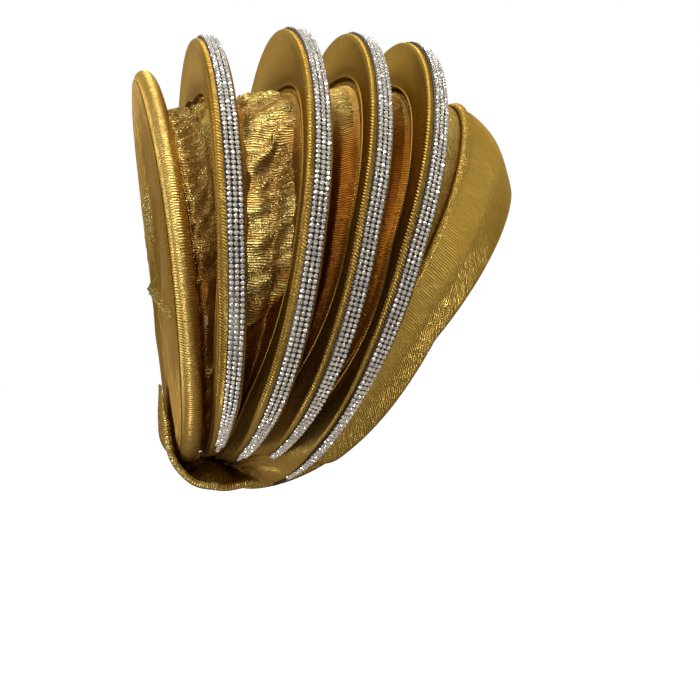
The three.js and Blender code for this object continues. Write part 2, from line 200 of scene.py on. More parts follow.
def room(wanted, places, index, angle):
    """A pleat's own width, or its share of the way to its neighbours, and less at its ends."""
    way = pleat_across(index, angle)
    apart = [places[other] - places[index + 1] for other in (index, index + 2)]
    gaps = [np.abs(np.sum(gap * way, axis=-1)) for gap in apart]
    thin = smooth_step(TAPER_FROM, TAPER_TO, np.abs(angle))
    return np.minimum(wanted, PLEAT_SHARE * np.minimum(*gaps)) * (1 + (PLEAT_ENDS[index] - 1) * thin)


print("meetings:", len(DEPTHS), "depths at the top (mm):", [depth.top for depth in DEPTHS])

# %% [markdown]
# ## The crown's surface
# Between two meetings the cloth sags a little. That gives sixteen stations from back to front at every
# angle: the back edge, a valley and both sides of the foot for each pleat, and three across the front band. A
# smooth line through the stations is the surface.

# %% Crown surface
Sag = namedtuple("Sag", "top side")
SAGS = [Sag(4, 10), Sag(3, 12), Sag(3, 10), Sag(3, 9)]
SAG_FROM, SAG_TO = math.radians(35), math.radians(90)
PAD_THICKNESS = 12.5
PAD_GAP = 0.6
FOOT_WIDTH = 12.0
HOLLOW_MIDDLE = np.array([0.0, 10.0, -130.0])
STATIONS = ["back", "valley_1", "rear_1", "front_1", "valley_2", "rear_2", "front_2", "valley_3", "rear_3",
            "front_3", "valley_4", "rear_4", "front_4", "band_rear", "band_middle", "band_front"]
STATION = {name: place for place, name in enumerate(STATIONS)}
LAST_STATION = len(STATIONS) - 1
PLACE_STEP = 0.04


def crown_stations(angle):
    """The sixteen stations at each angle, from back to front."""
    angle = (angle + math.pi) % (2 * math.pi) - math.pi
    loose = 1 - smooth_step(DRAW_FROM, DRAW_TO, np.abs(angle))[..., None]
    back = meeting(0, angle) + plane_forward(PAD_RING) * (PAD_THICKNESS / 2 + PAD_GAP) * loose
    feet = [meeting(number, angle) for number in range(1, len(DEPTHS))]
    places = [back, *feet, ring_point(BAND_RINGS[0], angle)]
    beside = smooth_step(SAG_FROM, SAG_TO, np.abs(angle))[..., None]
    rows = [back]
    for index, foot in enumerate(feet):
        sag = (SAGS[index].top + (SAGS[index].side - SAGS[index].top) * beside) * loose
        valley = (places[index] + foot) / 2 + unit(HOLLOW_MIDDLE - foot) * sag
        half = pleat_across(index, angle) * room(FOOT_WIDTH, places, index, angle)[..., None] / 2
        rows += [valley, foot - half, foot + half]
    return np.stack(rows + [ring_point(ring, angle) for ring in BAND_RINGS], axis=-2)


def spline(a, b, c, d, t):
    """A smooth curve from b to c at share t, where a comes before them and d after."""
    square, cube = 2 * a - 5 * b + 4 * c - d, 3 * b - a - 3 * c + d
    return 0.5 * (2 * b + (c - a) * t + square * t ** 2 + cube * t ** 3)


def crown_point(place, angle):
    """A point on the crown, where place counts along the stations and runs smoothly between them."""
    stations = crown_stations(angle)
    start = np.clip(np.floor(place).astype(int), 0, LAST_STATION - 1)
    rows = []
    for k in (-1, 0, 1, 2):
        at = np.clip(start + k, 0, LAST_STATION)[..., None, None]
        rows.append(np.take_along_axis(stations, at, axis=-2)[..., 0, :])
    return spline(*rows, (place - start)[..., None])


def crown_frame(place, angle):
    """The crown's point, its unit direction towards the front, and its outward normal."""
    point = crown_point(place, angle)
    front = crown_point(np.minimum(place + PLACE_STEP, LAST_STATION), angle)
    ahead = front - crown_point(np.maximum(place - PLACE_STEP, 0), angle)
    around = crown_point(place, angle + ANGLE_STEP) - crown_point(place, angle - ANGLE_STEP)
    out = unit(np.cross(around, ahead))
    out *= np.sign(np.sum(out * (point - HOLLOW_MIDDLE), axis=-1, keepdims=True))
    return point, unit(ahead), out


print("stations on the crown:", len(STATIONS))

# %% [markdown]
# ## Sweeping an outline
# Most pieces are one closed outline carried along the fan. The helper joins the outlines with quads, closes
# the ends, turns the faces outwards and writes a UV map in metres: U runs along the sweep and V across it.
# The cloth's ribs follow that map, so they lie across every rim and valley, as real ones do. It also stores
# two values at each point: how crushed the cloth is, from 0 for drawn smooth to 1 for crumpled, which sets
# its bumps and roughness and also how much painted glint and rib highlight its colour gets; and how much
# painted shade darkens its colour, from 0 for none to 1 for fully shaded.

# %% Sweep helper
RIB_RADIUS = 0.12


def sweep(name, outlines, along, across, crush, shade=0.0, slant=0.0, closed=False, turned=False):
    """A mesh object from outlines[step, point] in millimetres. Slant shears U, turned swaps U and V."""
    steps, size = outlines.shape[:2]
    step, point = np.meshgrid(np.arange(steps if closed else steps - 1), np.arange(size), indexing="ij")
    ahead, beside = (step + 1) % steps, (point + 1) % size
    quads = np.stack([step * size + point, ahead * size + point,
                      ahead * size + beside, step * size + beside], axis=-1).reshape(-1, 4)
    at_step = np.stack([step, step + 1, step + 1, step], axis=-1)
    at_point = np.stack([point, point, point + 1, point + 1], axis=-1)
    v = across[at_point]
    u = along[at_step] + v * np.broadcast_to(slant, along.shape)[at_step]
    corners = outlines.reshape(-1, 3)[quads]
    volume = np.einsum("ij,ij->", corners[:, 0], np.cross(corners[:, 1], corners[:, 2]))
    volume += np.einsum("ij,ij->", corners[:, 0], np.cross(corners[:, 2], corners[:, 3]))
    order = [0, 1, 2, 3] if volume > 0 else [3, 2, 1, 0]
    faces = quads[:, order].tolist()
    uv = np.stack([u.reshape(-1, 4)[:, order], v.reshape(-1, 4)[:, order]], axis=-1).reshape(-1, 2)
    if not closed:
        first, last = list(range(size)), list(range((steps - 1) * size, steps * size))
        faces += [first, last[::-1]] if volume > 0 else [first[::-1], last]
        uv = np.concatenate([uv, np.zeros((2 * size, 2))])
    mesh = bpy.data.meshes.new(name)
    mesh.from_pydata((outlines.reshape(-1, 3) * MM).tolist(), [], faces)
    layer = mesh.uv_layers.new(name="cloth")
    layer.data.foreach_set("uv", (uv[:, ::-1] if turned else uv).astype(np.float32).ravel())
    # Stores the crush, which also sets the painted glints, and the painted shade, at every point.
    for key, values in (("crush", crush), ("shade", shade)):
        store = mesh.attributes.new(key, "FLOAT", "POINT")
        store.data.foreach_set("value", np.broadcast_to(values, (steps, size)).astype(np.float32).ravel())
    mesh.shade_smooth()
    return add_object(name, mesh)


def lengths(points):
    """Distance along a row of points, in metres."""
    gaps = np.linalg.norm(np.diff(points, axis=0), axis=-1)
    return np.concatenate([[0], np.cumsum(gaps)]) * MM


print("UV unit along the rings:", RIB_RADIUS, "m for each radian")

# %% [markdown]
# ## Creased noise
# Gathered cloth has sharp crests and round troughs. Smooth noise that is folded over at zero has such
# crests. Its two coordinates are the way along the cloth and the way across it, so a fold can be stretched in
# either.

# %% Noise helpers
CREST_SHARPNESS = 3


def grain(u, v, seed):
    """Smooth noise between -1 and 1 on two coordinates."""
    u, v = np.broadcast_arrays(u, v)
    values = [noise.noise(Vector((a, b, seed))) for a, b in zip(u.ravel().tolist(), v.ravel().tolist())]
    return np.array(values).reshape(u.shape)


def ridges(u, v, seed):
    """Noise with sharp crests, from 0 to 1, as creased cloth has."""
    return (1 - np.abs(grain(u, v, seed))) ** CREST_SHARPNESS


print("a row of creases:", ridges(np.linspace(0, 2, 5), 0.5, 1.0).round(2).tolist())

# %% [markdown]
# ## Node helpers
# The finishes, the setting of the stones and the room are built from nodes. Four short helpers keep that
# readable: one adds a node, one does a sum, one makes a noise, and one moves a value from one range to
# another.

# %% Node helpers
def add(tree, kind, place, **values):
    node = tree.nodes.new(kind)
    node.location = place
    for key, value in values.items():
        setattr(node, key, value)
    return node


def maths(tree, operation, place, *given):
    """A maths node whose inputs are numbers or sockets; returns its output."""
    node = add(tree, "ShaderNodeMath", place, operation=operation)
    for socket, value in zip(node.inputs, given):
        if isinstance(value, (int, float)):
            socket.default_value = value
        else:
            tree.links.new(value, socket)
    return node.outputs[0]


def speckle(tree, place, vector, scale, detail):
    """A noise texture on given coordinates; returns its value."""
    node = add(tree, "ShaderNodeTexNoise", place)
    node.inputs["Scale"].default_value = scale
    node.inputs["Detail"].default_value = detail
    tree.links.new(vector, node.inputs["Vector"])
    return node.outputs["Fac"]


def ranged(tree, place, value, source, target):
    """Maps a value from one range to another and holds it there; returns the result."""
    node = add(tree, "ShaderNodeMapRange", place)
    for name, number in zip(("From Min", "From Max", "To Min", "To Max"), (*source, *target)):
        node.inputs[name].default_value = number
    tree.links.new(value, node.inputs["Value"])
    return node.outputs["Result"]


print("node helpers:", ", ".join(helper.__name__ for helper in (add, maths, speckle, ranged)))

# %% [markdown]
# ## The lame finish
# Gold lame is woven with flat metal thread and set in fine ribs about 1.5 mm apart. Where it is drawn smooth
# it has a satin sheen. Where it is crushed, each rib breaks into short glints. The effect is a shader group.
# A wave on U makes the ribs, a stretched noise breaks them up, and the stored crush sets how strong that is:
# in the bump and the roughness, and also in the colour, where the rib crests and the glints are painted
# lighter, a painted highlight. The stored shade then draws the colour towards a dark one, a painted shade.
# The group puts out a colour, a roughness and a height, and every cloth material uses it with its own values.

# %% Lame group
DRIFT_SCALE, GRIT_SCALE, PATCH_SCALE = 55, 750, 70
GRIT_SHARE = 0.25
GLINT_RANGE = (0.42, 0.6)
PATCH_RANGE, PATCH_STRENGTH = (0.35, 0.6), (0.45, 1.0)
SMOOTH_RIB = 0.4
GLINT_TONE, RIB_HIGHLIGHT = 0.7, 0.35
SATIN_ROUGHNESS, GLINT_ROUGHNESS = 0.40, 0.22


def build_lame_group():
    tree = bpy.data.node_groups.new("ribbed lame", "ShaderNodeTree")
    for name in ("Rib Pitch", "Wander", "Crinkle", "Break Length", "Body"):
        tree.interface.new_socket(name, in_out="INPUT", socket_type="NodeSocketFloat")
    for name in ("Deep", "Lit", "Shaded"):
        tree.interface.new_socket(name, in_out="INPUT", socket_type="NodeSocketColor")
    tree.interface.new_socket("Color", in_out="OUTPUT", socket_type="NodeSocketColor")
    for name in ("Roughness", "Height"):
        tree.interface.new_socket(name, in_out="OUTPUT", socket_type="NodeSocketFloat")
    link = tree.links.new
    given = add(tree, "NodeGroupInput", (-1600, 0)).outputs
    uv = add(tree, "ShaderNodeUVMap", (-1600, -300), uv_map="cloth")
    split = add(tree, "ShaderNodeSeparateXYZ", (-1400, -300))
    link(uv.outputs["UV"], split.inputs[0])
    place = add(tree, "ShaderNodeTexCoord", (-1600, -500)).outputs["Object"]
    crush = add(tree, "ShaderNodeAttribute", (-1600, -800), attribute_name="crush").outputs["Fac"]
    shade = add(tree, "ShaderNodeAttribute", (300, 250), attribute_name="shade").outputs["Fac"]
    drift = speckle(tree, (-1400, -500), place, DRIFT_SCALE, 3)
    drift = maths(tree, "SUBTRACT", (-1200, -500), drift, 0.5)
    along = maths(tree, "MULTIPLY_ADD", (-1000, -300), drift, given["Wander"], split.outputs["X"])
    count = maths(tree, "DIVIDE", (-800, -300), along, given["Rib Pitch"])
    wave = maths(tree, "SINE", (-450, -300), maths(tree, "MULTIPLY", (-600, -300), count, 2 * math.pi))
    rib = maths(tree, "MULTIPLY_ADD", (-300, -300), wave, 0.5, 0.5)
    dashes = add(tree, "ShaderNodeCombineXYZ", (-600, -600))
    link(count, dashes.inputs[0])
    link(maths(tree, "DIVIDE", (-800, -600), split.outputs["Y"], given["Break Length"]), dashes.inputs[1])
    broken = speckle(tree, (-450, -600), dashes.outputs[0], 1.0, 4)
    broken = maths(tree, "MULTIPLY", (-300, -500), broken, 1 - GRIT_SHARE)
    grit = speckle(tree, (-450, -850), place, GRIT_SCALE, 2)
    mixed = maths(tree, "MULTIPLY_ADD", (-250, -650), grit, GRIT_SHARE, broken)
    patch = speckle(tree, (-450, -1100), place, PATCH_SCALE, 2)
    patch = ranged(tree, (-300, -1100), patch, PATCH_RANGE, PATCH_STRENGTH)
    glint = ranged(tree, (-100, -650), mixed, GLINT_RANGE, (0, 1))
    glint = maths(tree, "MULTIPLY", (0, -650), glint, patch)
    crumpled = maths(tree, "MULTIPLY", (150, -650), glint, crush)
    rib_depth = maths(tree, "MULTIPLY_ADD", (0, -400), crush, 1 - SMOOTH_RIB, SMOOTH_RIB)
    ribbed = maths(tree, "MULTIPLY", (150, -400), rib, rib_depth)
    # Painted highlight: the colour is drawn towards the lit tone on the rib crests and on the glints.
    shine = maths(tree, "MULTIPLY_ADD", (300, -700), crumpled, GLINT_TONE, given["Body"])
    tone = maths(tree, "MULTIPLY_ADD", (300, -500), ribbed, RIB_HIGHLIGHT, shine)
    colour = add(tree, "ShaderNodeMix", (500, 0), data_type="RGBA")
    link(tone, colour.inputs["Factor"])
    link(given["Deep"], colour.inputs["A"])
    link(given["Lit"], colour.inputs["B"])
    # Painted shade: the stored shade draws the colour towards the shaded tone.
    shaded = add(tree, "ShaderNodeMix", (700, 100), data_type="RGBA")
    link(shade, shaded.inputs["Factor"])
    link(colour.outputs["Result"], shaded.inputs["A"])
    link(given["Shaded"], shaded.inputs["B"])
    height = maths(tree, "MULTIPLY_ADD", (500, -500), crumpled, given["Crinkle"], ribbed)
    roughness = ranged(tree, (500, -250), crumpled, (0, 0.7), (SATIN_ROUGHNESS, GLINT_ROUGHNESS))
    out = add(tree, "NodeGroupOutput", (900, 0))
    link(shaded.outputs["Result"], out.inputs["Color"])
    link(roughness, out.inputs["Roughness"])
    link(height, out.inputs["Height"])
    return tree


LAME = build_lame_group()
print("group:", LAME.name, "nodes:", len(LAME.nodes))

# %% [markdown]
# ## Three cloths from one group
# The padded pieces are covered smoothly, the crown's cloth is gathered and crushed, and the band is flat.
# Each is a metal with its own colours: the deep tone shows between the ribs, and the lit tone is mixed in on
# the rib crests and the glints as a painted highlight; the shaded tone is a painted shade where little light
# gets in. A thin clear coat stands for the film round the thread and makes the brightest glints paler than
# the gold.

# %% Cloth materials
Cloth = namedtuple("Cloth", "pitch wander crinkle break_length body deep lit shaded bump coat")
CLOTHS = {
    "gold_cloth": Cloth(pitch=0.0015, wander=0.002, crinkle=0.6, break_length=0.008, body=0.30,
                        deep=(0.30, 0.15, 0.02), lit=(0.72, 0.51, 0.15), shaded=(0.19, 0.10, 0.013),
                        bump=0.00035, coat=0.03),
    "crown_cloth": Cloth(pitch=0.0013, wander=0.004, crinkle=1.1, break_length=0.016, body=0.02,
                         deep=(0.30, 0.125, 0.012), lit=(0.82, 0.725, 0.26), shaded=(0.165, 0.05, 0.004),
                         bump=0.0006, coat=0.03),
    "band_cloth": Cloth(pitch=0.0013, wander=0.002, crinkle=0.9, break_length=0.012, body=0.3,
                        deep=(0.29, 0.15, 0.016), lit=(0.53, 0.36, 0.085), shaded=(0.165, 0.05, 0.004),
                        bump=0.0005, coat=0.04),
}
CLOTH_METAL = 0.95
COAT_ROUGHNESS = 0.2
EDGE_TINT = (1.0, 0.71, 0.3, 1)


def new_material(name, values):
    """A material whose Principled shader holds the given values; returns it with its tree and shader."""
    material = bpy.data.materials.new(name)
    material.use_nodes = True
    shader = material.node_tree.nodes["Principled BSDF"]
    for socket, value in values.items():
        shader.inputs[socket].default_value = value
    return material, material.node_tree, shader


def cloth_material(name, cloth):
    material, tree, shader = new_material(name, {
        "Metallic": CLOTH_METAL, "Coat Weight": cloth.coat, "Coat Roughness": COAT_ROUGHNESS,
        "Specular Tint": EDGE_TINT,
    })
    weave = add(tree, "ShaderNodeGroup", (-500, 0), node_tree=LAME)
    given = {
        "Rib Pitch": cloth.pitch, "Wander": cloth.wander, "Crinkle": cloth.crinkle,
        "Break Length": cloth.break_length, "Body": cloth.body,
        "Deep": (*cloth.deep, 1), "Lit": (*cloth.lit, 1), "Shaded": (*cloth.shaded, 1),
    }
    for socket, value in given.items():
        weave.inputs[socket].default_value = value
    bump = add(tree, "ShaderNodeBump", (-250, -250))
    bump.inputs["Distance"].default_value = cloth.bump
    tree.links.new(weave.outputs["Height"], bump.inputs["Height"])
    tree.links.new(weave.outputs["Color"], shader.inputs["Base Color"])
    tree.links.new(weave.outputs["Roughness"], shader.inputs["Roughness"])
    tree.links.new(bump.outputs["Normal"], shader.inputs["Normal"])
    return material


MATERIALS = {name: cloth_material(name, cloth) for name, cloth in CLOTHS.items()}
print("cloths:", ", ".join(MATERIALS))

# %% [markdown]
# ## The crown's gathers
# Between the pleats the cloth is gathered into slanting folds, strongest in the two valleys at the back, and
# nearly smooth in the front ones. Folds that are sewn down at both sides are quicker to set by rule than by
# simulation: creased noise, stretched along the folds, lifts the surface, and fades out where the pleats
# stand. One swag in each rear valley overlaps the smoother cloth below it. The same rule says where the
# cloth is crushed, and where painted shade darkens it: lower down the valleys, in the troughs of the deep
# folds, at the nape and next to the pleats at the sides. Each swag's crest gets more glint and no shade,
# partly a painted highlight. Angles in these tables are in degrees from the top.

# %% Gathers
Valley = namedtuple("Valley", "start end slant fold crease crushed_to smooth_from least shade "
                              "swag swag_height", defaults=(0, 0))
VALLEYS = [
    Valley("back", "rear_1", slant=20, fold=4.0, crease=1.2, crushed_to=62, smooth_from=118, least=0.35,
           shade=0.8, swag=126, swag_height=2.5),
    Valley("front_1", "rear_2", slant=26, fold=4.8, crease=1.5, crushed_to=111, smooth_from=118, least=0.15,
           shade=0.8, swag=117.5, swag_height=3.5),
    Valley("front_2", "rear_3", slant=5, fold=1.0, crease=0.8, crushed_to=52, smooth_from=70, least=0.25,
           shade=0.95),
    Valley("front_3", "rear_4", slant=5, fold=0.8, crease=0.7, crushed_to=46, smooth_from=64, least=0.25,
           shade=0.95),
    Valley("front_4", "band_rear", slant=6, fold=1.0, crease=0.7, crushed_to=100, smooth_from=140, least=0.6,
           shade=0.3),
]
FOLD_SPACING, FOLD_STRETCH, FOLD_SEED = 17.0, 0.6, 3.1
CREASE_SPACING, CREASE_STRETCH, CREASE_SEED = 5.0, 1.2, 7.7
SWAY, SWAY_LENGTH = 4.0, 17.0
FAR_SIDE_SHIFT = 40.0
REAR_SEAM, FRONT_SEAM, FOLDS_FADE = (0.04, 0.3), (0.98, 0.7), (175, 120)
SWAG_LIP, SWAG_RISE, CREST_WIDTH = (2.0, -1.0), (-30, -4), 1.5
VALLEY_FLATNESS, FLAT_FADE = 0.85, (145, 110)
FLAT_CRUSH, FLAT_SHADE = 0.5, 0.3
TROUGH_SHADE, DEEP_FOLD, SHADE_LEAD = 0.7, 2, 6
NAPE_SHADE, NAPE_DARKENS = 0.85, (118, 138)
WALL_SHADE, WALL_FROM, WALL_DARKENS = 0.8, (0.9, 0.97), (20, 50)


def crown_folds(place, angle):
    """How far the gathered cloth stands out, in millimetres, how crushed it is, which also sets its glints,
    and how much painted shade it gets.
    """
    lift = np.zeros_like(place)
    crush, shade = np.full_like(place, FLAT_CRUSH), np.full_like(place, FLAT_SHADE)
    down, degrees = np.abs(angle) * RIB_RADIUS / MM, np.degrees(np.abs(angle))
    for number, valley in enumerate(VALLEYS):
        first, last = STATION[valley.start], STATION[valley.end]
        share = (place - first) / (last - first)
        pick = (share > 0) & (share < 1)
        share, run, turned = share[pick], down[pick], degrees[pick]
        far = np.where(angle[pick] < 0, 0.0, FAR_SIDE_SHIFT)
        rear = 1.0 if valley.start == "back" else smooth_step(*REAR_SEAM, share)
        hold = rear * smooth_step(*FRONT_SEAM, share) * smooth_step(*FOLDS_FADE, turned)
        run = run + valley.slant * share + SWAY * np.sin(run / SWAY_LENGTH + number)
        level = np.degrees(run * MM / RIB_RADIUS)
        crumpled = smooth_step(valley.smooth_from, valley.crushed_to, level)
        crumpled = valley.least + (1 - valley.least) * crumpled
        wide = ridges((run + far) / FOLD_SPACING, share * FOLD_STRETCH + far, FOLD_SEED + number)
        fine = ridges((run + far) / CREASE_SPACING, share * CREASE_STRETCH, CREASE_SEED + number)
        height = crumpled * (valley.fold * wide + valley.crease * fine)
        edge = run - math.radians(valley.swag) * RIB_RADIUS / MM
        height += valley.swag_height * smooth_step(*SWAG_LIP, edge) * smooth_step(*SWAG_RISE, edge)
        # Partly a painted highlight: along each swag's crest the crush is raised, for more glint, and the
        # painted shade is taken away.
        crest_highlight = np.exp(-((edge + CREST_WIDTH) / CREST_WIDTH) ** 2) * (valley.swag_height > 0)
        lift[pick], crush[pick] = hold * height, np.maximum(crumpled, crest_highlight)
        if number < len(SAGS):
            from_middle = (2 * share - 1) ** 2
            flat = SAGS[number].side * (from_middle - from_middle ** 3) * smooth_step(*FLAT_FADE, turned)
            lift[pick] -= VALLEY_FLATNESS * flat
        # Painted shade: darker lower down the valley, in the deep folds' troughs, at the nape and next to the
        # pleats.
        below = smooth_step(valley.crushed_to - SHADE_LEAD, valley.smooth_from, level)
        in_trough = TROUGH_SHADE * (1 - below) * (1 - wide) * (valley.fold > DEEP_FOLD)
        at_nape = NAPE_SHADE * smooth_step(*NAPE_DARKENS, turned)
        at_wall = WALL_SHADE * smooth_step(*WALL_FROM, share) * smooth_step(*WALL_DARKENS, turned)
        between = (valley.shade * below + in_trough) * (1 - crest_highlight)
        shade[pick] = np.maximum(np.maximum(between, at_nape), at_wall)
    return lift, crush, shade


print("valleys:", len(VALLEYS), "fold heights (mm):", [valley.fold for valley in VALLEYS])

# %% [markdown]
# ## The crown
# The crown is one thin cloth cap. It is swept round the fan: the gathered outer side from the back edge to
# the front one, and the inner side back again, one cloth's thickness below. The inner side stays plain, so it
# needs fewer points.

# %% Crown
CLOTH_WALL = 2.0
INSIDE_CRUSH = 0.3
CROWN_STEPS = 420

turn = np.linspace(-math.pi, math.pi, CROWN_STEPS + 1)[:-1]
places = np.concatenate([np.linspace(0, STATION["rear_2"], 86)[:-1],
                         np.linspace(STATION["rear_2"], STATION["band_rear"], 64)[:-1],
                         np.linspace(STATION["band_rear"], LAST_STATION, 12)])
surface, _, outward = crown_frame(places[None], turn[:, None])
lift, crush, shade = crown_folds(*np.meshgrid(places, turn))
inner_pick = np.unique(np.linspace(0, len(places) - 1, 40).astype(int))[::-1]
inner = (surface - outward * CLOTH_WALL)[:, inner_pick]
crown_outlines = np.concatenate([surface + outward * lift[..., None], inner], axis=1)
crown_along = np.append(turn, math.pi) * RIB_RADIUS
crown_across = lengths(surface[len(turn) // 2])
crown_across = np.concatenate([crown_across, crown_across[inner_pick], crown_across[:1]])
crown_crush = np.concatenate([crush, crush[:, inner_pick] * INSIDE_CRUSH], axis=1)
crown_shade = np.concatenate([shade, shade[:, inner_pick]], axis=1)
crown = sweep("turban_crown", crown_outlines, crown_along, crown_across, crown_crush, crown_shade,
              closed=True)
crown.data.materials.append(MATERIALS["crown_cloth"])
print("crown faces:", len(crown.data.polygons), "highest fold (mm):", round(float(lift.max()), 1))

# %% [markdown]
# ## A pleat's outline
# A pleat is a padded fin: it flares into the crown at its foot, draws in at its waist and ends in a flat
# edge with round corners, like beads along it. One side of the outline is worked out at every angle from the
# width of the foot, the width of the edge and the height.

# %% Pleat outline
PLEAT_THICKNESS = 14.5
PLEAT_WAIST = 11.0
CLEARANCE = 0.3
FOOT_FLARE, FLARE_SHARE = 1.2, 0.1
BEAD_SHARE, BEAD_TUCK, BEAD_REACH = 0.34, 0.08, 1.4
BEAD_BLEND = (0.6, 1.1)
EDGE_SHARES = np.array([0.6, 0.2])


def foot_width(index, angle):
    """How wide the crown's flat under a pleat is."""
    stations = crown_stations(angle)
    rear = stations[:, STATION[f"rear_{index + 1}"]]
    return np.linalg.norm(stations[:, STATION[f"front_{index + 1}"]] - rear, axis=-1)


def pleat_frame(index, angle):
    """Where a pleat stands, which way it rises and how far, and its directions across."""
    foot, ahead, out = crown_frame(np.full_like(angle, STATION[f"rear_{index + 1}"] + 0.5), angle)
    foot = foot + out * CLEARANCE
    up = ring_point(EDGE_RINGS[index], angle) - foot
    height = np.linalg.norm(up, axis=-1)
    return foot, up / height[:, None], height, pleat_across(index, angle), ahead, out


def pleat_side(foot_half, edge_half, height):
    """One side of the outline, foot first: offsets across, heights, and which points lie on the bead."""
    flare = np.minimum(FOOT_FLARE, FLARE_SHARE * height)[:, None]
    foot_half, edge_half, height = foot_half[:, None], edge_half[:, None], height[:, None]
    bead = BEAD_SHARE * edge_half
    waist = np.minimum(PLEAT_WAIST / PLEAT_THICKNESS * edge_half, (foot_half + edge_half) / 2)
    quarter = np.linspace(0, math.pi / 2, 7)
    fillet = foot_half + flare * (1 - np.sin(quarter)), flare * (1 - np.cos(quarter))
    t = np.linspace(0, 1, 11)[1:-1]
    face_end = edge_half - BEAD_TUCK * bead
    pull = 2 * waist - (foot_half + face_end) / 2
    face = (foot_half * (1 - t) ** 2 + 2 * pull * t * (1 - t) + face_end * t ** 2,
            flare + (height - BEAD_REACH * bead - flare) * t)
    arc = np.linspace(-BEAD_TUCK * math.pi, math.pi / 2, 9)
    bend = (edge_half - bead * (1 - np.cos(arc)), height - bead * (1 - np.sin(arc)))
    top = (edge_half - bead) * EDGE_SHARES, height + 0 * EDGE_SHARES
    offsets, heights = (np.concatenate(rows, axis=1) for rows in zip(fillet, face, bend, top))
    beyond = np.ones(len(arc) + len(EDGE_SHARES))
    on_bead = np.concatenate([0 * quarter, smooth_step(*BEAD_BLEND, t), beyond])
    return offsets, heights, on_bead


print("edge thickness and waist (mm):", PLEAT_THICKNESS, PLEAT_WAIST)

# %% [markdown]
# ## The padded pleats
# Each pleat is swept from its tip on one side of the nape, over the top, to its tip on the other side. Its
# cloth is satin at the top and combed into slanting ribs at the sides. Two neighbours stand so close at the
# sides that they would shade each other's faces; that shade is painted into the colour, most of all at the
# foot, and it fades out towards the tips.

# %% Pleats
PLEAT_END = math.radians(176)
TIP_SHARE, TIP_LENGTH = 0.3, math.radians(6)
LEAN_HEIGHT = 9
RIB_SLANT, SLANT_FROM = 0.4, (35, 75)
SATIN, COMBED, COMBED_FROM = 0.08, 0.6, (35, 70)
BEAD_CRUSH, BEAD_FADE = 0.5, (165, 120)
FACE_SHADE, FACE_FROM, FACE_TO = 0.8, (30, 55), (140, 118)
FOOT_SHADE, FOOT_BAND = 0.9, (0.55, 0.1)
BEAD_SHADE = 0.8
TOP_SHARE, SIDE_FROM, SHADE_FADE = 0.55, (25, 50), (146, 122)


def build_pleat(index):
    angle = np.linspace(-PLEAT_END, PLEAT_END, 321)
    foot, up, height, forward, ahead, out = pleat_frame(index, angle)
    taper = TIP_SHARE + (1 - TIP_SHARE) * smooth_step(PLEAT_END, PLEAT_END - TIP_LENGTH, np.abs(angle))
    height = height * taper
    foot_half = foot_width(index, angle) / 2 * taper
    edge_half = room(PLEAT_THICKNESS, edge_places(angle), index, angle) / 2 * taper
    half, half_rise, on_bead = pleat_side(foot_half, edge_half, height)
    offset = np.concatenate([-half, half[:, ::-1]], axis=1)[..., None]
    rise = np.concatenate([half_rise, half_rise[:, ::-1]], axis=1)[..., None]
    free = smooth_step(0, LEAN_HEIGHT, rise)
    lean = (1 - free) * out[:, None] + free * up[:, None]
    way = (1 - free) * ahead[:, None] + free * forward[:, None]
    outlines = foot[:, None] + lean * rise + way * offset
    middle = outlines[len(angle) // 2]
    across = np.append(lengths(middle), lengths(middle)[-1] + FOOT_WIDTH * MM)
    turned = np.degrees(np.abs(angle))[:, None]
    combed = SATIN + (COMBED - SATIN) * smooth_step(*COMBED_FROM, turned)
    on_bead = np.concatenate([on_bead, on_bead[::-1]])
    near_foot = smooth_step(*FOOT_BAND, rise[..., 0] / height[:, None])
    crush = combed * (1 - near_foot)
    crush = crush + (BEAD_CRUSH * smooth_step(*BEAD_FADE, turned) - crush) * on_bead
    side = smooth_step(*FACE_FROM, turned) * smooth_step(*FACE_TO, turned)
    beside = TOP_SHARE + (1 - TOP_SHARE) * smooth_step(*SIDE_FROM, turned)
    # Painted shade: on the faces at the sides, near the foot and on the bead, fading out towards the tips.
    shade = np.maximum(FACE_SHADE * side, FOOT_SHADE * near_foot * beside)
    shade = (shade + (BEAD_SHADE * beside - shade) * on_bead) * smooth_step(*SHADE_FADE, turned)
    slant = -RIB_SLANT * np.sign(angle) * smooth_step(*SLANT_FROM, turned[:, 0])
    pleat = sweep(f"turban_fin_{index + 1}", outlines, angle * RIB_RADIUS, across, crush, shade, slant)
    pleat.data.materials.append(MATERIALS["gold_cloth"])
    return pleat


pleats = [build_pleat(index) for index in range(len(EDGE_RINGS))]
print("pleats:", [len(pleat.data.polygons) for pleat in pleats])

# %% [markdown]
# ## The front band
# The band is doubled cloth over the front of the crown. Its rear edge is a soft roll, its front edge a fold.
# The outline gives a share of the band's width and a lift off the crown for each point: over the roll,
# across the outer side, round the fold and back underneath.

# %% Front band
BAND_CLOTH = 2.4
BAND_ROLL, ROLL_SHARE = 4.4, 0.075
BAND_END = math.radians(142.5)
BAND_LAP = 1.6
BAND_UNDER = 0.3
BAND_SWELL, SEAM_DIP, SEAM_WIDTH = 0.7, 0.5, 0.05
RUN_OUT, RUN_OUT_LENGTH = 0.55, math.radians(14)
ROLL_CRUSH, UNDER_CRUSH = 0.7, 0.2
REAR_CRUSH, FRONT_CRUSH_GAIN = 0.3, 0.4


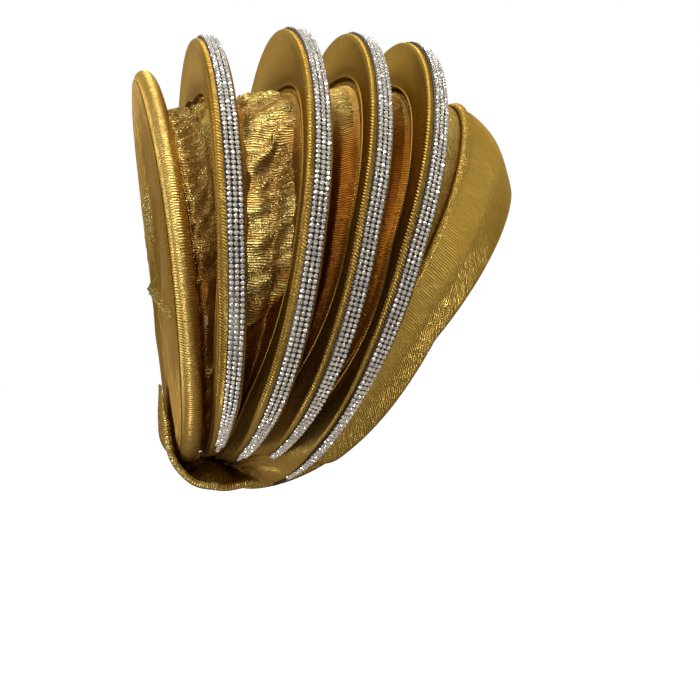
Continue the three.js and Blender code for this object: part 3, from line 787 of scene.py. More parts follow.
def build_band():
    angle = np.linspace(-BAND_END, BAND_END, 361)
    roll = BAND_ROLL - (BAND_ROLL - BAND_CLOTH) * (np.abs(angle) / BAND_END) ** 4
    arc = np.linspace(-0.45 * math.pi, 0.85 * math.pi, 13)
    roll_share = ROLL_SHARE / 2 * (1 - np.cos(arc + 0.2 * math.pi))
    roll_lift = 0.5 * (1 + np.sin(arc))
    flat_share = np.linspace(1.15 * ROLL_SHARE, 1, 36)
    inner_share = (flat_share - flat_share[0]) / (1 - flat_share[0])
    seam = SEAM_DIP * np.exp(-(inner_share / SEAM_WIDTH) ** 2)
    swell = BAND_SWELL * np.sin(np.pi * inner_share) ** 0.6 - seam
    turned = np.linspace(0, math.pi, 7)[1:]
    under_share = np.linspace(1, 0.03, 14)[1:]
    share = np.concatenate([roll_share, flat_share, np.ones_like(turned), under_share])
    lap = np.concatenate([0 * roll_share, 0 * flat_share, BAND_LAP * np.sin(turned), 0 * under_share])
    fold = BAND_UNDER + (BAND_CLOTH - BAND_UNDER) * (0.5 + 0.5 * np.cos(turned))
    level = np.concatenate([BAND_CLOTH + swell, fold, np.full_like(under_share, BAND_UNDER)])
    lift = np.concatenate([roll[:, None] * roll_lift, np.tile(level, (len(angle), 1))], axis=1)
    rear, front = STATION["band_rear"], STATION["band_front"]
    reach = 1 - RUN_OUT * smooth_step(BAND_END - RUN_OUT_LENGTH, BAND_END, np.abs(angle))
    places = rear + (front - rear) * np.clip(share, 0, 1) * reach[:, None]
    point, ahead, out = crown_frame(places, np.broadcast_to(angle[:, None], places.shape))
    outlines = point + out * (lift + CLEARANCE)[..., None] + ahead * lap[..., None]
    middle = outlines[len(angle) // 2]
    across = np.append(lengths(middle), lengths(middle)[-1] + BAND_ROLL * MM)
    # The crush grows towards the front fold, for more glints there, partly a painted highlight.
    crush = np.concatenate([np.full_like(arc, ROLL_CRUSH), REAR_CRUSH + FRONT_CRUSH_GAIN * inner_share,
                            np.full_like(turned, ROLL_CRUSH), np.full_like(under_share, UNDER_CRUSH)])
    band = sweep("turban_front_band", outlines, angle * RIB_RADIUS, across, crush)
    band.data.materials.append(MATERIALS["band_cloth"])
    return band


band = build_band()
print("band faces:", len(band.data.polygons))

# %% [markdown]
# ## The back pad
# A padded oval with a full, ribbed rim stands behind the first valley. It is swept from the middle of its
# front face, over the rim, to the middle of its back, and it bends a little with its height.

# %% Back pad
PAD_FLAT = 0.93
RIM_CRUSH, PAD_FACE_CRUSH = 0.5, 0.15


def pad_point(angle, reach, ahead):
    """A place on the pad: the angle round it, the share out to the rim, and the distance ahead."""
    nape, top = ring_ends(PAD_RING)
    share = 0.5 + 0.5 * reach * np.cos(angle)
    bow = 4 * PAD_RING.bow * share * (1 - share) + ahead
    point = nape + (top - nape) * share[..., None] + plane_forward(PAD_RING) * bow[..., None]
    point[..., 0] = reach * ring_point(PAD_RING, angle)[..., 0]
    return point


def build_pad():
    angle = np.linspace(-math.pi, math.pi, 361)[:-1]
    half = PAD_THICKNESS / 2
    face = np.linspace(0.02, PAD_FLAT, 14)
    bend = np.linspace(0, math.pi, 23)[1:-1]
    rim = PAD_FLAT + (1 - PAD_FLAT) * np.sin(bend) ** 0.9
    reach = np.concatenate([face, rim, face[::-1]])
    swell = half * (0.94 + 0.06 * np.sin(np.pi * face / PAD_FLAT))
    over_rim = half * np.sign(np.cos(bend)) * np.abs(np.cos(bend)) ** 0.95
    ahead = np.concatenate([swell, over_rim, -swell[::-1]])
    out_by, around = np.meshgrid(reach, angle)
    outlines = pad_point(around, out_by, np.broadcast_to(ahead, out_by.shape)).transpose(1, 0, 2)
    crush = np.where(reach > PAD_FLAT, RIM_CRUSH, PAD_FACE_CRUSH)[:, None] * np.ones(len(angle))
    across = np.append(angle, math.pi) * RIB_RADIUS
    pad = sweep("turban_back_pad", outlines, lengths(outlines[:, 0]), across, crush, turned=True)
    pad.data.materials.append(MATERIALS["gold_cloth"])
    return pad


pad = build_pad()
print("pad faces:", len(pad.data.polygons))

# %% [markdown]
# ## The knot, the cord and the standing fold
# The cloth on the back of the pad is drawn together into a small twisted knot near the middle. One fold
# stands up above the knot, and a twisted cord runs from the knot to the rim. Each is a height over the pad,
# worked out from the distance to its middle. Places are in millimetres aside of the pad's middle and above
# its foot.

# %% Knot, cord and fold
KNOT_MIDDLE, KNOT_HEIGHT, KNOT_WIDTH = np.array([-2.0, 116.0]), 5.0, 6.0
KNOT_LOBES, LOBE_SHARE = 5, 0.3
CORD_FROM, CORD_TO = KNOT_MIDDLE, np.array([-78.0, 96.0])
CORD_HEIGHT, CORD_WIDTH, CORD_TWIST = 6.0, 2.1, 5.0
STRAND_SHARE, CORD_LOSS = 0.3, 0.5
FOLD_MIDDLE, FOLD_HALF = np.array([-38.0, 157.0]), 19.0
FOLD_HEIGHT, FOLD_WIDTH = 5.5, 1.8


def knot_lift(aside, above, swirl):
    """The knot, with lobes that turn with the folds round it."""
    from_knot = np.hypot(aside - KNOT_MIDDLE[0], above - KNOT_MIDDLE[1]) / KNOT_WIDTH
    return KNOT_HEIGHT * np.exp(-from_knot ** 2) * (1 + LOBE_SHARE * np.cos(KNOT_LOBES * swirl))


def cord_lift(aside, above):
    """The twisted cord that runs from the knot to the rim."""
    way = CORD_TO - CORD_FROM
    length = np.linalg.norm(way)
    way = way / length
    run = (aside - CORD_FROM[0]) * way[0] + (above - CORD_FROM[1]) * way[1]
    off = (above - CORD_FROM[1]) * way[0] - (aside - CORD_FROM[0]) * way[1]
    share = np.clip(run / length, 0, 1)
    away = np.hypot(off, run - share * length)
    twist = 1 + STRAND_SHARE * np.sin(2 * np.pi * run / CORD_TWIST + off)
    return CORD_HEIGHT * (1 - CORD_LOSS * share) * np.exp(-(away / CORD_WIDTH) ** 2) * twist


def fold_lift(aside, above):
    """The fold that stands up above the knot, highest at its middle."""
    along = np.clip((above - FOLD_MIDDLE[1]) / FOLD_HALF, -1, 1)
    return FOLD_HEIGHT * (1 - along ** 2) * np.exp(-((aside - FOLD_MIDDLE[0]) / FOLD_WIDTH) ** 2)


print("cord length (mm):", round(float(np.linalg.norm(CORD_TO - CORD_FROM)), 1))

# %% [markdown]
# ## The back drape
# A length of the gathered cloth covers the back of the pad. Its folds radiate from the pad's middle and swirl
# a little close to it, so they are set by the angle round it. The knot, the cord and the standing fold are
# added, and the cloth lies down flat to the rim.

# %% Back drape
DRAPE_REACH = 0.955
DRAPE_CLOTH = 1.0
DRAPE_HEM = 0.25
DRAPE_CRUSH, DRAPE_INSIDE_CRUSH, DRAWN_FROM = 0.25, 0.1, (0.5, 2.0)
KNOT_TWIST = 1.9
Gather = namedtuple("Gather", "scale height seed")
DRAPE_GATHERS = [Gather(2.4, 1.0, 1.5), Gather(5.5, 0.8, 4.2), Gather(11, 0.4, 9.6)]


def build_drape():
    angle = np.linspace(-math.pi, math.pi, 361)[:-1]
    out_by, around = np.meshgrid(np.linspace(0.015, 1, 100), angle)
    swirl = around + KNOT_TWIST * (1 - out_by) ** 3
    folds = np.zeros_like(out_by)
    for scale, height, seed in DRAPE_GATHERS:
        folds += height * ridges(scale * np.cos(swirl), scale * np.sin(swirl) + 0.6 * out_by, seed)
    pad_length = math.hypot(PAD_RING.top_y - PAD_RING.nape_y, PAD_RING.top_z - PAD_RING.nape_z)
    aside = DRAPE_REACH * out_by * ring_point(PAD_RING, around)[..., 0]
    above = (0.5 + 0.5 * DRAPE_REACH * out_by * np.cos(around)) * pad_length
    drawn = np.maximum(knot_lift(aside, above, swirl), cord_lift(aside, above))
    drawn = np.maximum(drawn, fold_lift(aside, above))
    hold = smooth_step(0, 0.25, out_by) * smooth_step(1, 0.7, out_by)
    lift = DRAPE_CLOTH * (1 - 1.2 * smooth_step(0.93, 1, out_by)) + folds * hold + drawn
    floor = -(PAD_THICKNESS / 2 + CLEARANCE)
    inner_lift = np.maximum(lift - DRAPE_CLOTH, -DRAPE_HEM)
    outer = pad_point(around, out_by * DRAPE_REACH, floor - lift)
    inner = pad_point(around, out_by * DRAPE_REACH, floor - inner_lift)[:, ::-3]
    outlines = np.concatenate([outer, inner], axis=1).transpose(1, 0, 2)
    # The knot, the cord and the standing fold are crushed most, so they glint most, partly a painted
    # highlight.
    outer_crush = DRAPE_CRUSH + (1 - DRAPE_CRUSH) * smooth_step(*DRAWN_FROM, drawn)
    inner_crush = np.full(inner.shape[:2], DRAPE_INSIDE_CRUSH)
    crush = np.concatenate([outer_crush, inner_crush], axis=1).T
    across = np.append(angle, math.pi) * RIB_RADIUS
    drape = sweep("turban_back_drape", outlines, lengths(outlines[:, 0]), across, crush, turned=True)
    drape.data.materials.append(MATERIALS["crown_cloth"])
    return drape


drape = build_drape()
print("drape faces:", len(drape.data.polygons))

# %% [markdown]
# ## The nape sling
# A tongue of cloth comes from the crown's front edge, passes under the pad and rises behind it. Its long
# sides are rolled hems. It is a grid: a smooth line through a short table gives its path from the side, and
# its width narrows upwards.

# %% Nape sling
Rest = namedtuple("Rest", "y z half_width middle")
SLING = [
    Rest(91, -268, 44, 10),
    Rest(101, -266, 51, 13.5),
    Rest(114.5, -261.5, 50, 3),
    Rest(125.5, -248, 41, 0),
    Rest(128.3, -228, 28, 0),
    Rest(130.4, -206, 9, 0),
]
SLING_REACH = math.radians(157.5)
SLING_ROWS = 90
SLING_CLOTH = 2.2
SLING_HEM, THINNEST = 4.4, 0.2
SLING_FOLD, SLING_FOLD_SEED = 0.9, 2.5
HEM_CRUSH, SLING_CRUSH = 0.9, 0.8
OUTWARD = np.array([0, 0.4, -1])


def smooth_rows(rows, count):
    """Points on a smooth line through rows of values."""
    rows = np.asarray(rows, float)
    padded = np.concatenate([2 * rows[:1] - rows[1:2], rows, 2 * rows[-1:] - rows[-2:-1]])
    where = np.linspace(0, len(rows) - 1, count)
    start = np.minimum(where.astype(int), len(rows) - 2)
    t = (where - start).reshape(-1, *[1] * (rows.ndim - 1))
    return spline(*(padded[start + k] for k in range(4)), t)


def build_sling():
    spread = np.linspace(SLING_REACH, 2 * math.pi - SLING_REACH, 81)
    start, _, out = crown_frame(np.full_like(spread, STATION["band_middle"]), spread)
    start = start + out * (2 * CLEARANCE + SLING_CLOTH / 2)
    share = start[:, 0] / np.abs(start[:, 0]).max()
    rows = [start] + [np.stack([share * rest.half_width, np.full_like(share, rest.y),
                                rest.z + rest.middle * (1 - share ** 2)], axis=-1) for rest in SLING]
    middle = smooth_rows(rows, SLING_ROWS)
    path = np.gradient(middle, axis=0)
    out = unit(np.stack([0 * path[..., 0], path[..., 2], -path[..., 1]], axis=-1))
    out *= np.sign(np.sum(out * OUTWARD, axis=-1, keepdims=True).mean())
    width = np.abs(middle[:, :1, 0] - middle[:, -1:, 0])
    from_hem = width / 2 * (1 - np.abs(share))
    radius = SLING_HEM / 2
    down = np.linspace(0, 1, SLING_ROWS)[:, None]
    bead = np.sqrt(np.clip(radius ** 2 - (from_hem - radius) ** 2, THINNEST ** 2, None))
    half = np.where(from_hem < 2 * radius, bead, 0)
    half = np.maximum(half, np.where(from_hem > radius, SLING_CLOTH / 2, 0))
    half = half * (0.2 + 0.8 * smooth_step(1, 0.8, down)) * (0.3 + 0.7 * smooth_step(0, 0.06, down))
    folds = SLING_FOLD * grain(share[None] * 6, down * 2.2, SLING_FOLD_SEED)
    folds = folds * smooth_step(0, 0.2, down) * (1 - share ** 6)
    outer = middle + out * (half + folds)[..., None]
    inner = middle + out * (folds - half)[..., None]
    outlines = np.concatenate([outer, inner[:, ::-1]], axis=1)
    across = np.append(lengths(outlines[0]), lengths(outlines[0])[-1])
    crush = np.where(from_hem < 2 * radius, HEM_CRUSH, SLING_CRUSH)
    crush = np.concatenate([crush, crush[:, ::-1]], axis=1)
    sling = sweep("turban_nape_sling", outlines, lengths(middle[:, len(spread) // 2]), across, crush)
    sling.data.materials.append(MATERIALS["crown_cloth"])
    return sling


sling = build_sling()
print("sling faces:", len(sling.data.polygons))

# %% [markdown]
# ## Rhinestones
# Each pleat's edge carries a woven silver tape with three rows of stones in small cups. A stone is cut as a
# round brilliant's crown: a table, eight stars, eight kites and sixteen girdle facets. One stone is drawn
# once, and Geometry Nodes sets it on guide points that follow the edge. Every facet stores a number of its
# own, so that the finish can paint some facets bright and others dim, a painted flash of light.

# %% One stone and its cup
STONE_RADIUS, STONE_HEIGHT = 1.32, 0.95
TABLE_SHARE, STAR_SHARE, STAR_RISE = 0.55, 0.8, 0.62
CUP_HEIGHT, CUP_SHARE = 0.55, 1.04
FACETS = 8
GOLDEN_STEP = 0.618


def ring_of(shape, count, radius, z, turned=0.0):
    """New points evenly round a circle."""
    angles = [2 * math.pi * (k + turned) / count for k in range(count)]
    return [shape.verts.new((radius * math.cos(angle), radius * math.sin(angle), z)) for angle in angles]


def build_stone():
    shape = bmesh.new()
    cup = shape.faces.layers.bool.new("cup")
    cut = shape.faces.layers.float.new("cut")
    table = ring_of(shape, FACETS, TABLE_SHARE * STONE_RADIUS, CUP_HEIGHT + STONE_HEIGHT)
    star = ring_of(shape, FACETS, STAR_SHARE * STONE_RADIUS, CUP_HEIGHT + STAR_RISE * STONE_HEIGHT, 0.5)
    girdle = ring_of(shape, 2 * FACETS, STONE_RADIUS, CUP_HEIGHT)
    foot = ring_of(shape, 2 * FACETS, CUP_SHARE * STONE_RADIUS, 0)
    shape.faces.new(table)
    for k in range(FACETS):
        after = (k + 1) % FACETS
        shape.faces.new((table[k], star[k], table[after]))
        shape.faces.new((table[k], star[k - 1], girdle[2 * k], star[k]))
        shape.faces.new((star[k], girdle[2 * k], girdle[2 * k + 1]))
        shape.faces.new((star[k], girdle[2 * k + 1], girdle[2 * after]))
    for k in range(2 * FACETS):
        after = (k + 1) % (2 * FACETS)
        side = shape.faces.new((girdle[k], foot[k], foot[after], girdle[after]))
        side[cup] = True
    shape.faces.new(foot[::-1])[cup] = True
    for number, face in enumerate(shape.faces):
        face[cut] = number * GOLDEN_STEP % 1
    bmesh.ops.recalc_face_normals(shape, faces=shape.faces)
    bmesh.ops.scale(shape, vec=(MM, MM, MM), verts=shape.verts)
    mesh = bpy.data.meshes.new("cut_stone")
    shape.to_mesh(mesh)
    shape.free()
    return bpy.data.objects.new("cut_stone", mesh)


stone = build_stone()
print("facets on one stone:", len(stone.data.polygons))

# %% [markdown]
# ## Crystal and silver
# The stones are foil-backed, so they mirror the room from their facets more than they let light through. A
# metal with a low roughness and a clear coat gives that. The node tree writes a tint and a phase for every
# stone: the phase is added to the facet's own number, and that sets which facets get a painted flash, a
# brighter colour, and which stay darker. The cups and the tape are a duller, darker silver.

# %% Stone materials
GLINT_SPAN, GLINT_TONES = (0.3, 0.5), (0.6, 1.0)
SILVER_DARK, SILVER_PALE = (0.02, 0.019, 0.017, 1), (0.10, 0.095, 0.085, 1)
SILVER_GRAIN, SILVER_ROUGHNESS = 700, (0.25, 0.5)


def build_crystal():
    material, tree, shader = new_material("rhinestone", {
        "Metallic": 0.7, "Roughness": 0.12, "Coat Weight": 0.8,
    })
    tint = add(tree, "ShaderNodeAttribute", (-800, 0), attribute_name="tint")
    cut = add(tree, "ShaderNodeAttribute", (-1000, -250), attribute_name="cut")
    phase = add(tree, "ShaderNodeAttribute", (-1000, -450), attribute_name="phase")
    turned = maths(tree, "ADD", (-800, -250), cut.outputs["Fac"], phase.outputs["Fac"])
    turned = maths(tree, "FRACT", (-620, -250), turned)
    colour = add(tree, "ShaderNodeMix", (-250, 0), data_type="RGBA", blend_type="MULTIPLY")
    colour.inputs["Factor"].default_value = 1.0
    tree.links.new(tint.outputs["Color"], colour.inputs["A"])
    # Painted flash: the facet's number and the stone's phase give each facet a brighter or a darker colour.
    tree.links.new(ranged(tree, (-450, -250), turned, GLINT_SPAN, GLINT_TONES), colour.inputs["B"])
    tree.links.new(colour.outputs["Result"], shader.inputs["Base Color"])
    return material


def build_silver():
    material, tree, shader = new_material("silver_cup", {"Metallic": 0.85})
    place = add(tree, "ShaderNodeTexCoord", (-800, 0)).outputs["Object"]
    speck = speckle(tree, (-600, 0), place, SILVER_GRAIN, 2)
    tone = add(tree, "ShaderNodeMix", (-350, 0), data_type="RGBA")
    tone.inputs["A"].default_value = SILVER_DARK
    tone.inputs["B"].default_value = SILVER_PALE
    tree.links.new(speck, tone.inputs["Factor"])
    tree.links.new(tone.outputs["Result"], shader.inputs["Base Color"])
    tree.links.new(ranged(tree, (-350, -250), speck, (0, 1), SILVER_ROUGHNESS), shader.inputs["Roughness"])
    return material


MATERIALS["rhinestone"] = build_crystal()
MATERIALS["silver_cup"] = build_silver()
print("finishes:", ", ".join(MATERIALS))

# %% [markdown]
# ## The tree that sets the stones
# The guide is a cloud of points with two directions each: out of the edge, and along it. The tree puts a
# stone on each point, turns it by those directions, adds a small random tilt, stores a random tint and a
# random phase, and makes the stones real. Last it gives the facets their crystal and the cups their silver.

# %% Stone setting tree
STONE_TONE = (1.0, 0.93, 0.82)
SPIN_SHARE = 4


def stored(tree, place, name, data_type):
    """Reads an attribute of the points or faces; returns its value."""
    node = add(tree, "GeometryNodeInputNamedAttribute", place, data_type=data_type)
    node.inputs["Name"].default_value = name
    return node.outputs["Attribute"]


def store_on_stones(tree, place, geometry, name, data_type, value):
    """Stores a value on each stone; returns the geometry."""
    node = add(tree, "GeometryNodeStoreNamedAttribute", place, data_type=data_type, domain="INSTANCE")
    node.inputs["Name"].default_value = name
    tree.links.new(geometry, node.inputs["Geometry"])
    tree.links.new(value, node.inputs["Value"])
    return node.outputs[0]


def stone_turn(tree, given):
    """A stone's turn: by the two directions of its point, and then by a small random tilt."""
    link = tree.links.new
    axes = add(tree, "FunctionNodeAxesToRotation", (-400, -400), primary_axis="Z", secondary_axis="X")
    link(stored(tree, (-600, -400), "stone_out", "FLOAT_VECTOR"), axes.inputs[0])
    link(stored(tree, (-600, -550), "stone_along", "FLOAT_VECTOR"), axes.inputs[1])
    wobble = add(tree, "FunctionNodeRandomValue", (-400, -750), data_type="FLOAT_VECTOR")
    link(given["Seed"], wobble.inputs["Seed"])
    for limit, sign in enumerate((-1, 1)):
        most = add(tree, "ShaderNodeVectorMath", (-600, -750 - 150 * limit), operation="SCALE")
        most.inputs[0].default_value = (sign, sign, SPIN_SHARE * sign)
        link(given["Tilt"], most.inputs["Scale"])
        link(most.outputs[0], wobble.inputs[limit])
    euler = add(tree, "FunctionNodeEulerToRotation", (-200, -750))
    link(wobble.outputs[0], euler.inputs[0])
    turned = add(tree, "FunctionNodeRotateRotation", (-200, -450), rotation_space="LOCAL")
    link(axes.outputs[0], turned.inputs[0])
    link(euler.outputs[0], turned.inputs[1])
    return turned.outputs[0]


def stone_tint(tree, given):
    """A random colour between the stones' tone and one that is darker by the spread."""
    spread = add(tree, "ShaderNodeVectorMath", (-200, -950), operation="SUBTRACT")
    spread.inputs[0].default_value = STONE_TONE
    tree.links.new(given["Tint Spread"], spread.inputs[1])
    pale = add(tree, "FunctionNodeRandomValue", (0, -500), data_type="FLOAT_VECTOR")
    tree.links.new(spread.outputs[0], pale.inputs[0])
    pale.inputs[1].default_value = STONE_TONE
    tree.links.new(given["Seed"], pale.inputs["Seed"])
    return pale.outputs[0]


def build_setting_tree():
    tree = bpy.data.node_groups.new("stone setting", "GeometryNodeTree")
    for name, kind in (("Geometry", "Geometry"), ("Stone", "Object"), ("Tilt", "Float"),
                       ("Tint Spread", "Float"), ("Seed", "Int")):
        tree.interface.new_socket(name, in_out="INPUT", socket_type=f"NodeSocket{kind}")
    tree.interface.new_socket("Geometry", in_out="OUTPUT", socket_type="NodeSocketGeometry")
    link = tree.links.new
    given = add(tree, "NodeGroupInput", (-900, 0)).outputs
    shape = add(tree, "GeometryNodeObjectInfo", (-600, -150))
    link(given["Stone"], shape.inputs["Object"])
    setting = add(tree, "GeometryNodeInstanceOnPoints", (0, 0))
    link(given["Geometry"], setting.inputs["Points"])
    link(shape.outputs["Geometry"], setting.inputs["Instance"])
    link(stone_turn(tree, given), setting.inputs["Rotation"])
    chance = add(tree, "FunctionNodeRandomValue", (200, -500), data_type="FLOAT")
    link(given["Seed"], chance.inputs["Seed"])
    tint = stone_tint(tree, given)
    tinted = store_on_stones(tree, (200, 0), setting.outputs[0], "tint", "FLOAT_COLOR", tint)
    phased = store_on_stones(tree, (300, 0), tinted, "phase", "FLOAT", chance.outputs[1])
    real = add(tree, "GeometryNodeRealizeInstances", (450, 0))
    link(phased, real.inputs[0])
    crystal = add(tree, "GeometryNodeSetMaterial", (600, 0))
    crystal.inputs["Material"].default_value = MATERIALS["rhinestone"]
    link(real.outputs[0], crystal.inputs["Geometry"])
    silver = add(tree, "GeometryNodeSetMaterial", (800, 0))
    silver.inputs["Material"].default_value = MATERIALS["silver_cup"]
    link(crystal.outputs[0], silver.inputs["Geometry"])
    link(stored(tree, (600, -250), "cup", "BOOLEAN"), silver.inputs["Selection"])
    out = add(tree, "NodeGroupOutput", (1000, 0))
    link(silver.outputs[0], out.inputs[0])
    return tree


SETTING = build_setting_tree()
print("tree:", SETTING.name, "nodes:", len(SETTING.nodes))

# %% [markdown]
# ## The tapes
# A tape lies along the edge of each pleat, a little to the front of its middle. It is swept like the other
# pieces, keeps the same share of the edge where the pleat narrows, and comes to a blunt point at both ends.

# %% Tapes
TAPE_WIDTH = 8.8
TAPE_OFFSET = 1.0
TAPE_TOP, TAPE_SIDE, TAPE_BEVEL = 1.0, 0.8, 0.4
TAPE_ENDS = np.radians([158, 163, 164, 164])
TAPE_POINT, POINT_SHARE = math.radians(9), 0.35


def edge_frame(index, angle):
    """The middle of a pleat's edge, its outward direction, the way across, and its share of full width."""
    foot, up, height, forward, _, _ = pleat_frame(index, angle)
    share = room(PLEAT_THICKNESS, edge_places(angle), index, angle) / PLEAT_THICKNESS
    return foot + up * height[:, None], up, forward, share


def build_tape(index):
    end = TAPE_ENDS[index]
    angle = np.linspace(-end, end, 241)
    edge, up, forward, share = edge_frame(index, angle)
    share = share * (POINT_SHARE + (1 - POINT_SHARE) * smooth_step(end, end - TAPE_POINT, np.abs(angle)))
    half = TAPE_WIDTH / 2
    rear = [(-half, CLEARANCE), (-half, TAPE_SIDE), (-half + TAPE_BEVEL, TAPE_TOP)]
    front = [(-aside, rise) for aside, rise in rear[::-1]]
    outlines = np.stack([edge + up * rise + forward * (share * (TAPE_OFFSET + aside))[:, None]
                         for aside, rise in rear + front], axis=1)
    middle = outlines[len(angle) // 2]
    across = np.append(lengths(middle), lengths(middle)[-1] + TAPE_WIDTH * MM)
    tape = sweep(f"turban_tape_{index + 1}", outlines, lengths(edge), across, 0.0)
    tape.data.materials.append(MATERIALS["silver_cup"])
    return tape


tapes = [build_tape(index) for index in range(len(EDGE_RINGS))]
print("tapes:", [len(tape.data.polygons) for tape in tapes])

# %% [markdown]
# ## The stones on the tapes
# The guide points are spaced by the real distance along the edge, so the stones keep their pitch round the
# whole bow. The outer rows stop before the middle one, where the tape comes to its point.

# %% Stones
STONE_PITCH = 2.8
STONE_ROWS = (-1, 0, 1)
SPACING_RISE = 1.5
STONE_TILT = 0.16
TINT_SPREAD = 0.08
FIRST_SEED = 11


def build_guide(index):
    end = TAPE_ENDS[index]
    dense = np.linspace(-end, end, 2001)
    edge, up, _, _ = edge_frame(index, dense)
    run = lengths(edge + up * SPACING_RISE) / MM
    count = int(run[-1] / STONE_PITCH)
    at = np.interp((np.arange(count) + 0.5) * run[-1] / count, run, dense)
    edge, up, forward, share = edge_frame(index, at)
    along = np.gradient(edge, axis=0)
    across = unit(forward - up * np.sum(up * forward, axis=-1, keepdims=True))
    out = unit(np.cross(along, across))
    out *= np.sign(np.sum(out * up, axis=-1, keepdims=True))
    points = [edge + up * TAPE_TOP + forward * (share * (TAPE_OFFSET + row * STONE_PITCH))[:, None]
              for row in STONE_ROWS]
    kept = np.concatenate([np.abs(at) < end - np.abs(row) * TAPE_POINT / 2 for row in STONE_ROWS])
    mesh = bpy.data.meshes.new(f"turban_stones_{index + 1}")
    mesh.from_pydata((np.concatenate(points)[kept] * MM).tolist(), [], [])
    for name, rows in (("stone_out", out), ("stone_along", unit(along))):
        vectors = np.tile(rows, (len(STONE_ROWS), 1))[kept].astype(np.float32)
        mesh.attributes.new(name, "FLOAT_VECTOR", "POINT").data.foreach_set("vector", vectors.ravel())
    return add_object(mesh.name, mesh)


def set_stones(guide, seed):
    modifier = guide.modifiers.new("stones", "NODES")
    modifier.node_group = SETTING
    keys = {item.name: item.identifier for item in SETTING.interface.items_tree if item.in_out == "INPUT"}
    modifier[keys["Stone"]] = stone
    modifier[keys["Tilt"]] = STONE_TILT
    modifier[keys["Tint Spread"]] = TINT_SPREAD
    modifier[keys["Seed"]] = seed
    seen = guide.evaluated_get(bpy.context.evaluated_depsgraph_get())
    mesh = bpy.data.meshes.new_from_object(seen)
    guide.modifiers.clear()
    guide.data = mesh
    return guide


stones = [set_stones(build_guide(index), seed=FIRST_SEED + index) for index in range(len(EDGE_RINGS))]
bpy.data.objects.remove(stone)
print("stone facets by band:", [len(row.data.polygons) for row in stones])

# %% [markdown]
# ## Riding on the frame
# The turban is one body. Each piece rides on it and stands for its solid, which is hidden. The stones have
# no solid of their own: their tape stands for the band.

# %% Frame calls
def dress(piece, slot, *nodes):
    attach(piece, "root")
    if nodes:
        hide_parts(*nodes)


def cloth_area(piece):
    """Half of a thin piece's surface, in square metres."""
    return sum(face.area for face in piece.data.polygons) / 2


dress(crown, "crown_cloth", "crown")
dress(drape, "crown_cloth", "back_drape")
dress(sling, "crown_cloth", "nape_sling")
dress(band, "band_cloth", "front_band")
dress(pad, "gold_cloth", "back_pad")
for number, (pleat, tape, row) in enumerate(zip(pleats, tapes, stones), 1):
    dress(pleat, "gold_cloth", f"fin_{number}")
    dress(tape, "rhinestones", f"rhinestone_band_{number}")
    dress(row, "rhinestones")
print("cloth areas (m2):", [(p.name, round(cloth_area(p), 4)) for p in (crown, drape, sling, band)])

# %% [markdown]
# ## The floor
# A plain floor lies well below, because the turban is held up and touches nothing. It is pale to the camera
# and darker in mirrored light: a bright floor would fill the pleats from below with light.

# %% Floor
FLOOR_Z = -0.62
FLOOR_SIDE = 14.0
FLOOR_MIRRORED, FLOOR_SEEN = (0.30, 0.27, 0.25, 1), (0.96, 0.96, 0.95, 1)
FLOOR_GLOW = 0.6


def build_floor():
    half = FLOOR_SIDE / 2
    mesh = bpy.data.meshes.new("floor")
    mesh.from_pydata([(-half, -half, FLOOR_Z), (half, -half, FLOOR_Z), (half, half, FLOOR_Z),
                      (-half, half, FLOOR_Z)], [], [(0, 1, 2, 3)])
    floor = add_object("floor", mesh)
    material, tree, shader = new_material("pale_floor", {"Roughness": 0.9, "Emission Color": (1, 1, 1, 1)})
    tone = add(tree, "ShaderNodeMix", (-300, 0), data_type="RGBA")
    tone.inputs["A"].default_value = FLOOR_MIRRORED
    tone.inputs["B"].default_value = FLOOR_SEEN
    seen = add(tree, "ShaderNodeLightPath", (-500, 0)).outputs["Is Camera Ray"]
    tree.links.new(seen, tone.inputs["Factor"])
    tree.links.new(tone.outputs["Result"], shader.inputs["Base Color"])
    glow = maths(tree, "MULTIPLY", (-300, -300), seen, FLOOR_GLOW)
    tree.links.new(glow, shader.inputs["Emission Strength"])
    mesh.materials.append(material)


build_floor()
print("floor at (m):", FLOOR_Z)

# %% [markdown]
# ## The lights
# The light is a large soft panel overhead, a second one on the left, behind the turban, and a third in front
# of it. Four small panels on the camera's side make the sparks on the stones and on the crushed cloth.

# %% Lights
Panel = namedtuple("Panel", "name place size power")
SOFT, SPARK = 0.5, 0.10
PANELS = [
    Panel("overhead", (-0.25, 0.1, 0.95), SOFT, 8.5),
    Panel("behind", (-0.08, 1.1, 0.05), SOFT, 4.5),
    Panel("front", (-0.15, -0.95, 0.5), SOFT, 2.0),
    Panel("spark_high", (-0.80, -0.25, 0.30), SPARK, 0.7),
    Panel("spark_left", (-0.75, 0.70, 0.10), SPARK, 0.9),
    Panel("spark_low", (-0.80, 0.40, -0.50), SPARK, 3.3),
    Panel("spark_right", (-0.70, -0.60, -0.20), SPARK, 0.4),
]
LIGHT_AIM, OVERHEAD_AIM = Vector((0, 0, -0.12)), Vector((0, 0, -0.1))


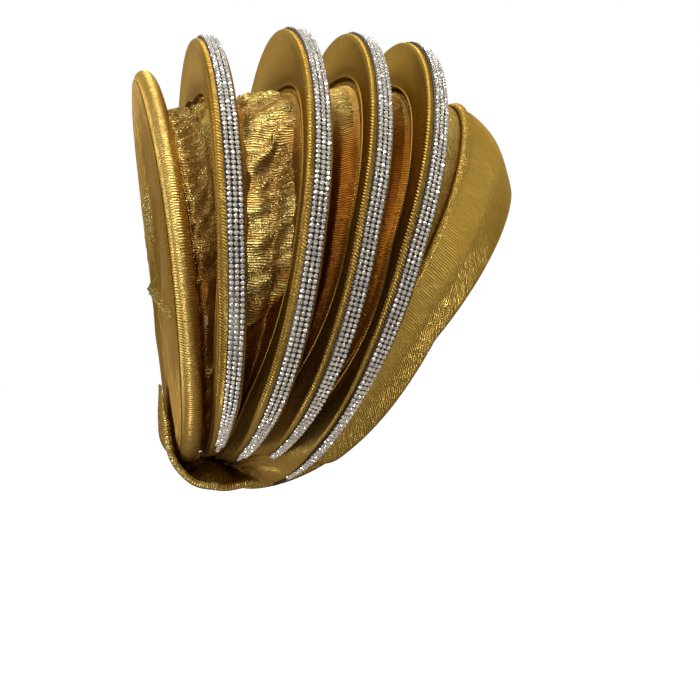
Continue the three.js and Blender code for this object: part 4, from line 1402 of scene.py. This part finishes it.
def build_panel(panel):
    data = bpy.data.lights.new(panel.name, "AREA")
    data.shape = "SQUARE"
    data.size = panel.size
    data.energy = panel.power
    light = add_object(panel.name, data)
    light.location = panel.place
    aim = OVERHEAD_AIM if panel.name == "overhead" else LIGHT_AIM
    light.rotation_euler = (aim - Vector(panel.place)).to_track_quat("-Z", "Y").to_euler()


for panel in PANELS:
    build_panel(panel)
print("panels:", len(PANELS))

# %% [markdown]
# ## The room
# Metal cloth shows what it mirrors. The room is dark behind the camera and bright beyond the turban and
# above it, so the valleys, which face the camera, stay deep, and the pleats' sides shine. Only the camera
# sees the room white.

# %% World
SIDE_SPAN, SIDE_LIGHT = (-0.9, 0.4), (0.04, 0.42)
RISE_SPAN, RISE_LIGHT = (-0.2, 0.9), (0.0, 0.35)


def build_world():
    world = bpy.data.worlds.new("studio")
    bpy.context.scene.world = world
    world.use_nodes = True
    tree = world.node_tree
    tree.nodes.clear()
    link = tree.links.new
    way = add(tree, "ShaderNodeSeparateXYZ", (-800, -200))
    link(add(tree, "ShaderNodeTexCoord", (-1000, -200)).outputs["Generated"], way.inputs[0])
    sides = ranged(tree, (-600, -200), way.outputs["X"], SIDE_SPAN, SIDE_LIGHT)
    above = ranged(tree, (-600, -450), way.outputs["Z"], RISE_SPAN, RISE_LIGHT)
    seen = add(tree, "ShaderNodeBackground", (-200, 0))
    mirrored = add(tree, "ShaderNodeBackground", (-200, -200))
    for background in (seen, mirrored):
        background.inputs["Color"].default_value = (1, 1, 1, 1)
    link(maths(tree, "ADD", (-400, -300), sides, above), mirrored.inputs["Strength"])
    either = add(tree, "ShaderNodeMixShader", (0, 0))
    link(add(tree, "ShaderNodeLightPath", (-400, 300)).outputs["Is Camera Ray"], either.inputs[0])
    link(mirrored.outputs[0], either.inputs[1])
    link(seen.outputs[0], either.inputs[2])
    out = add(tree, "ShaderNodeOutputWorld", (200, 0))
    link(either.outputs[0], out.inputs[0])
    return world


print("room:", build_world().name)
bpy.context.scene.view_settings.view_transform = "Standard"
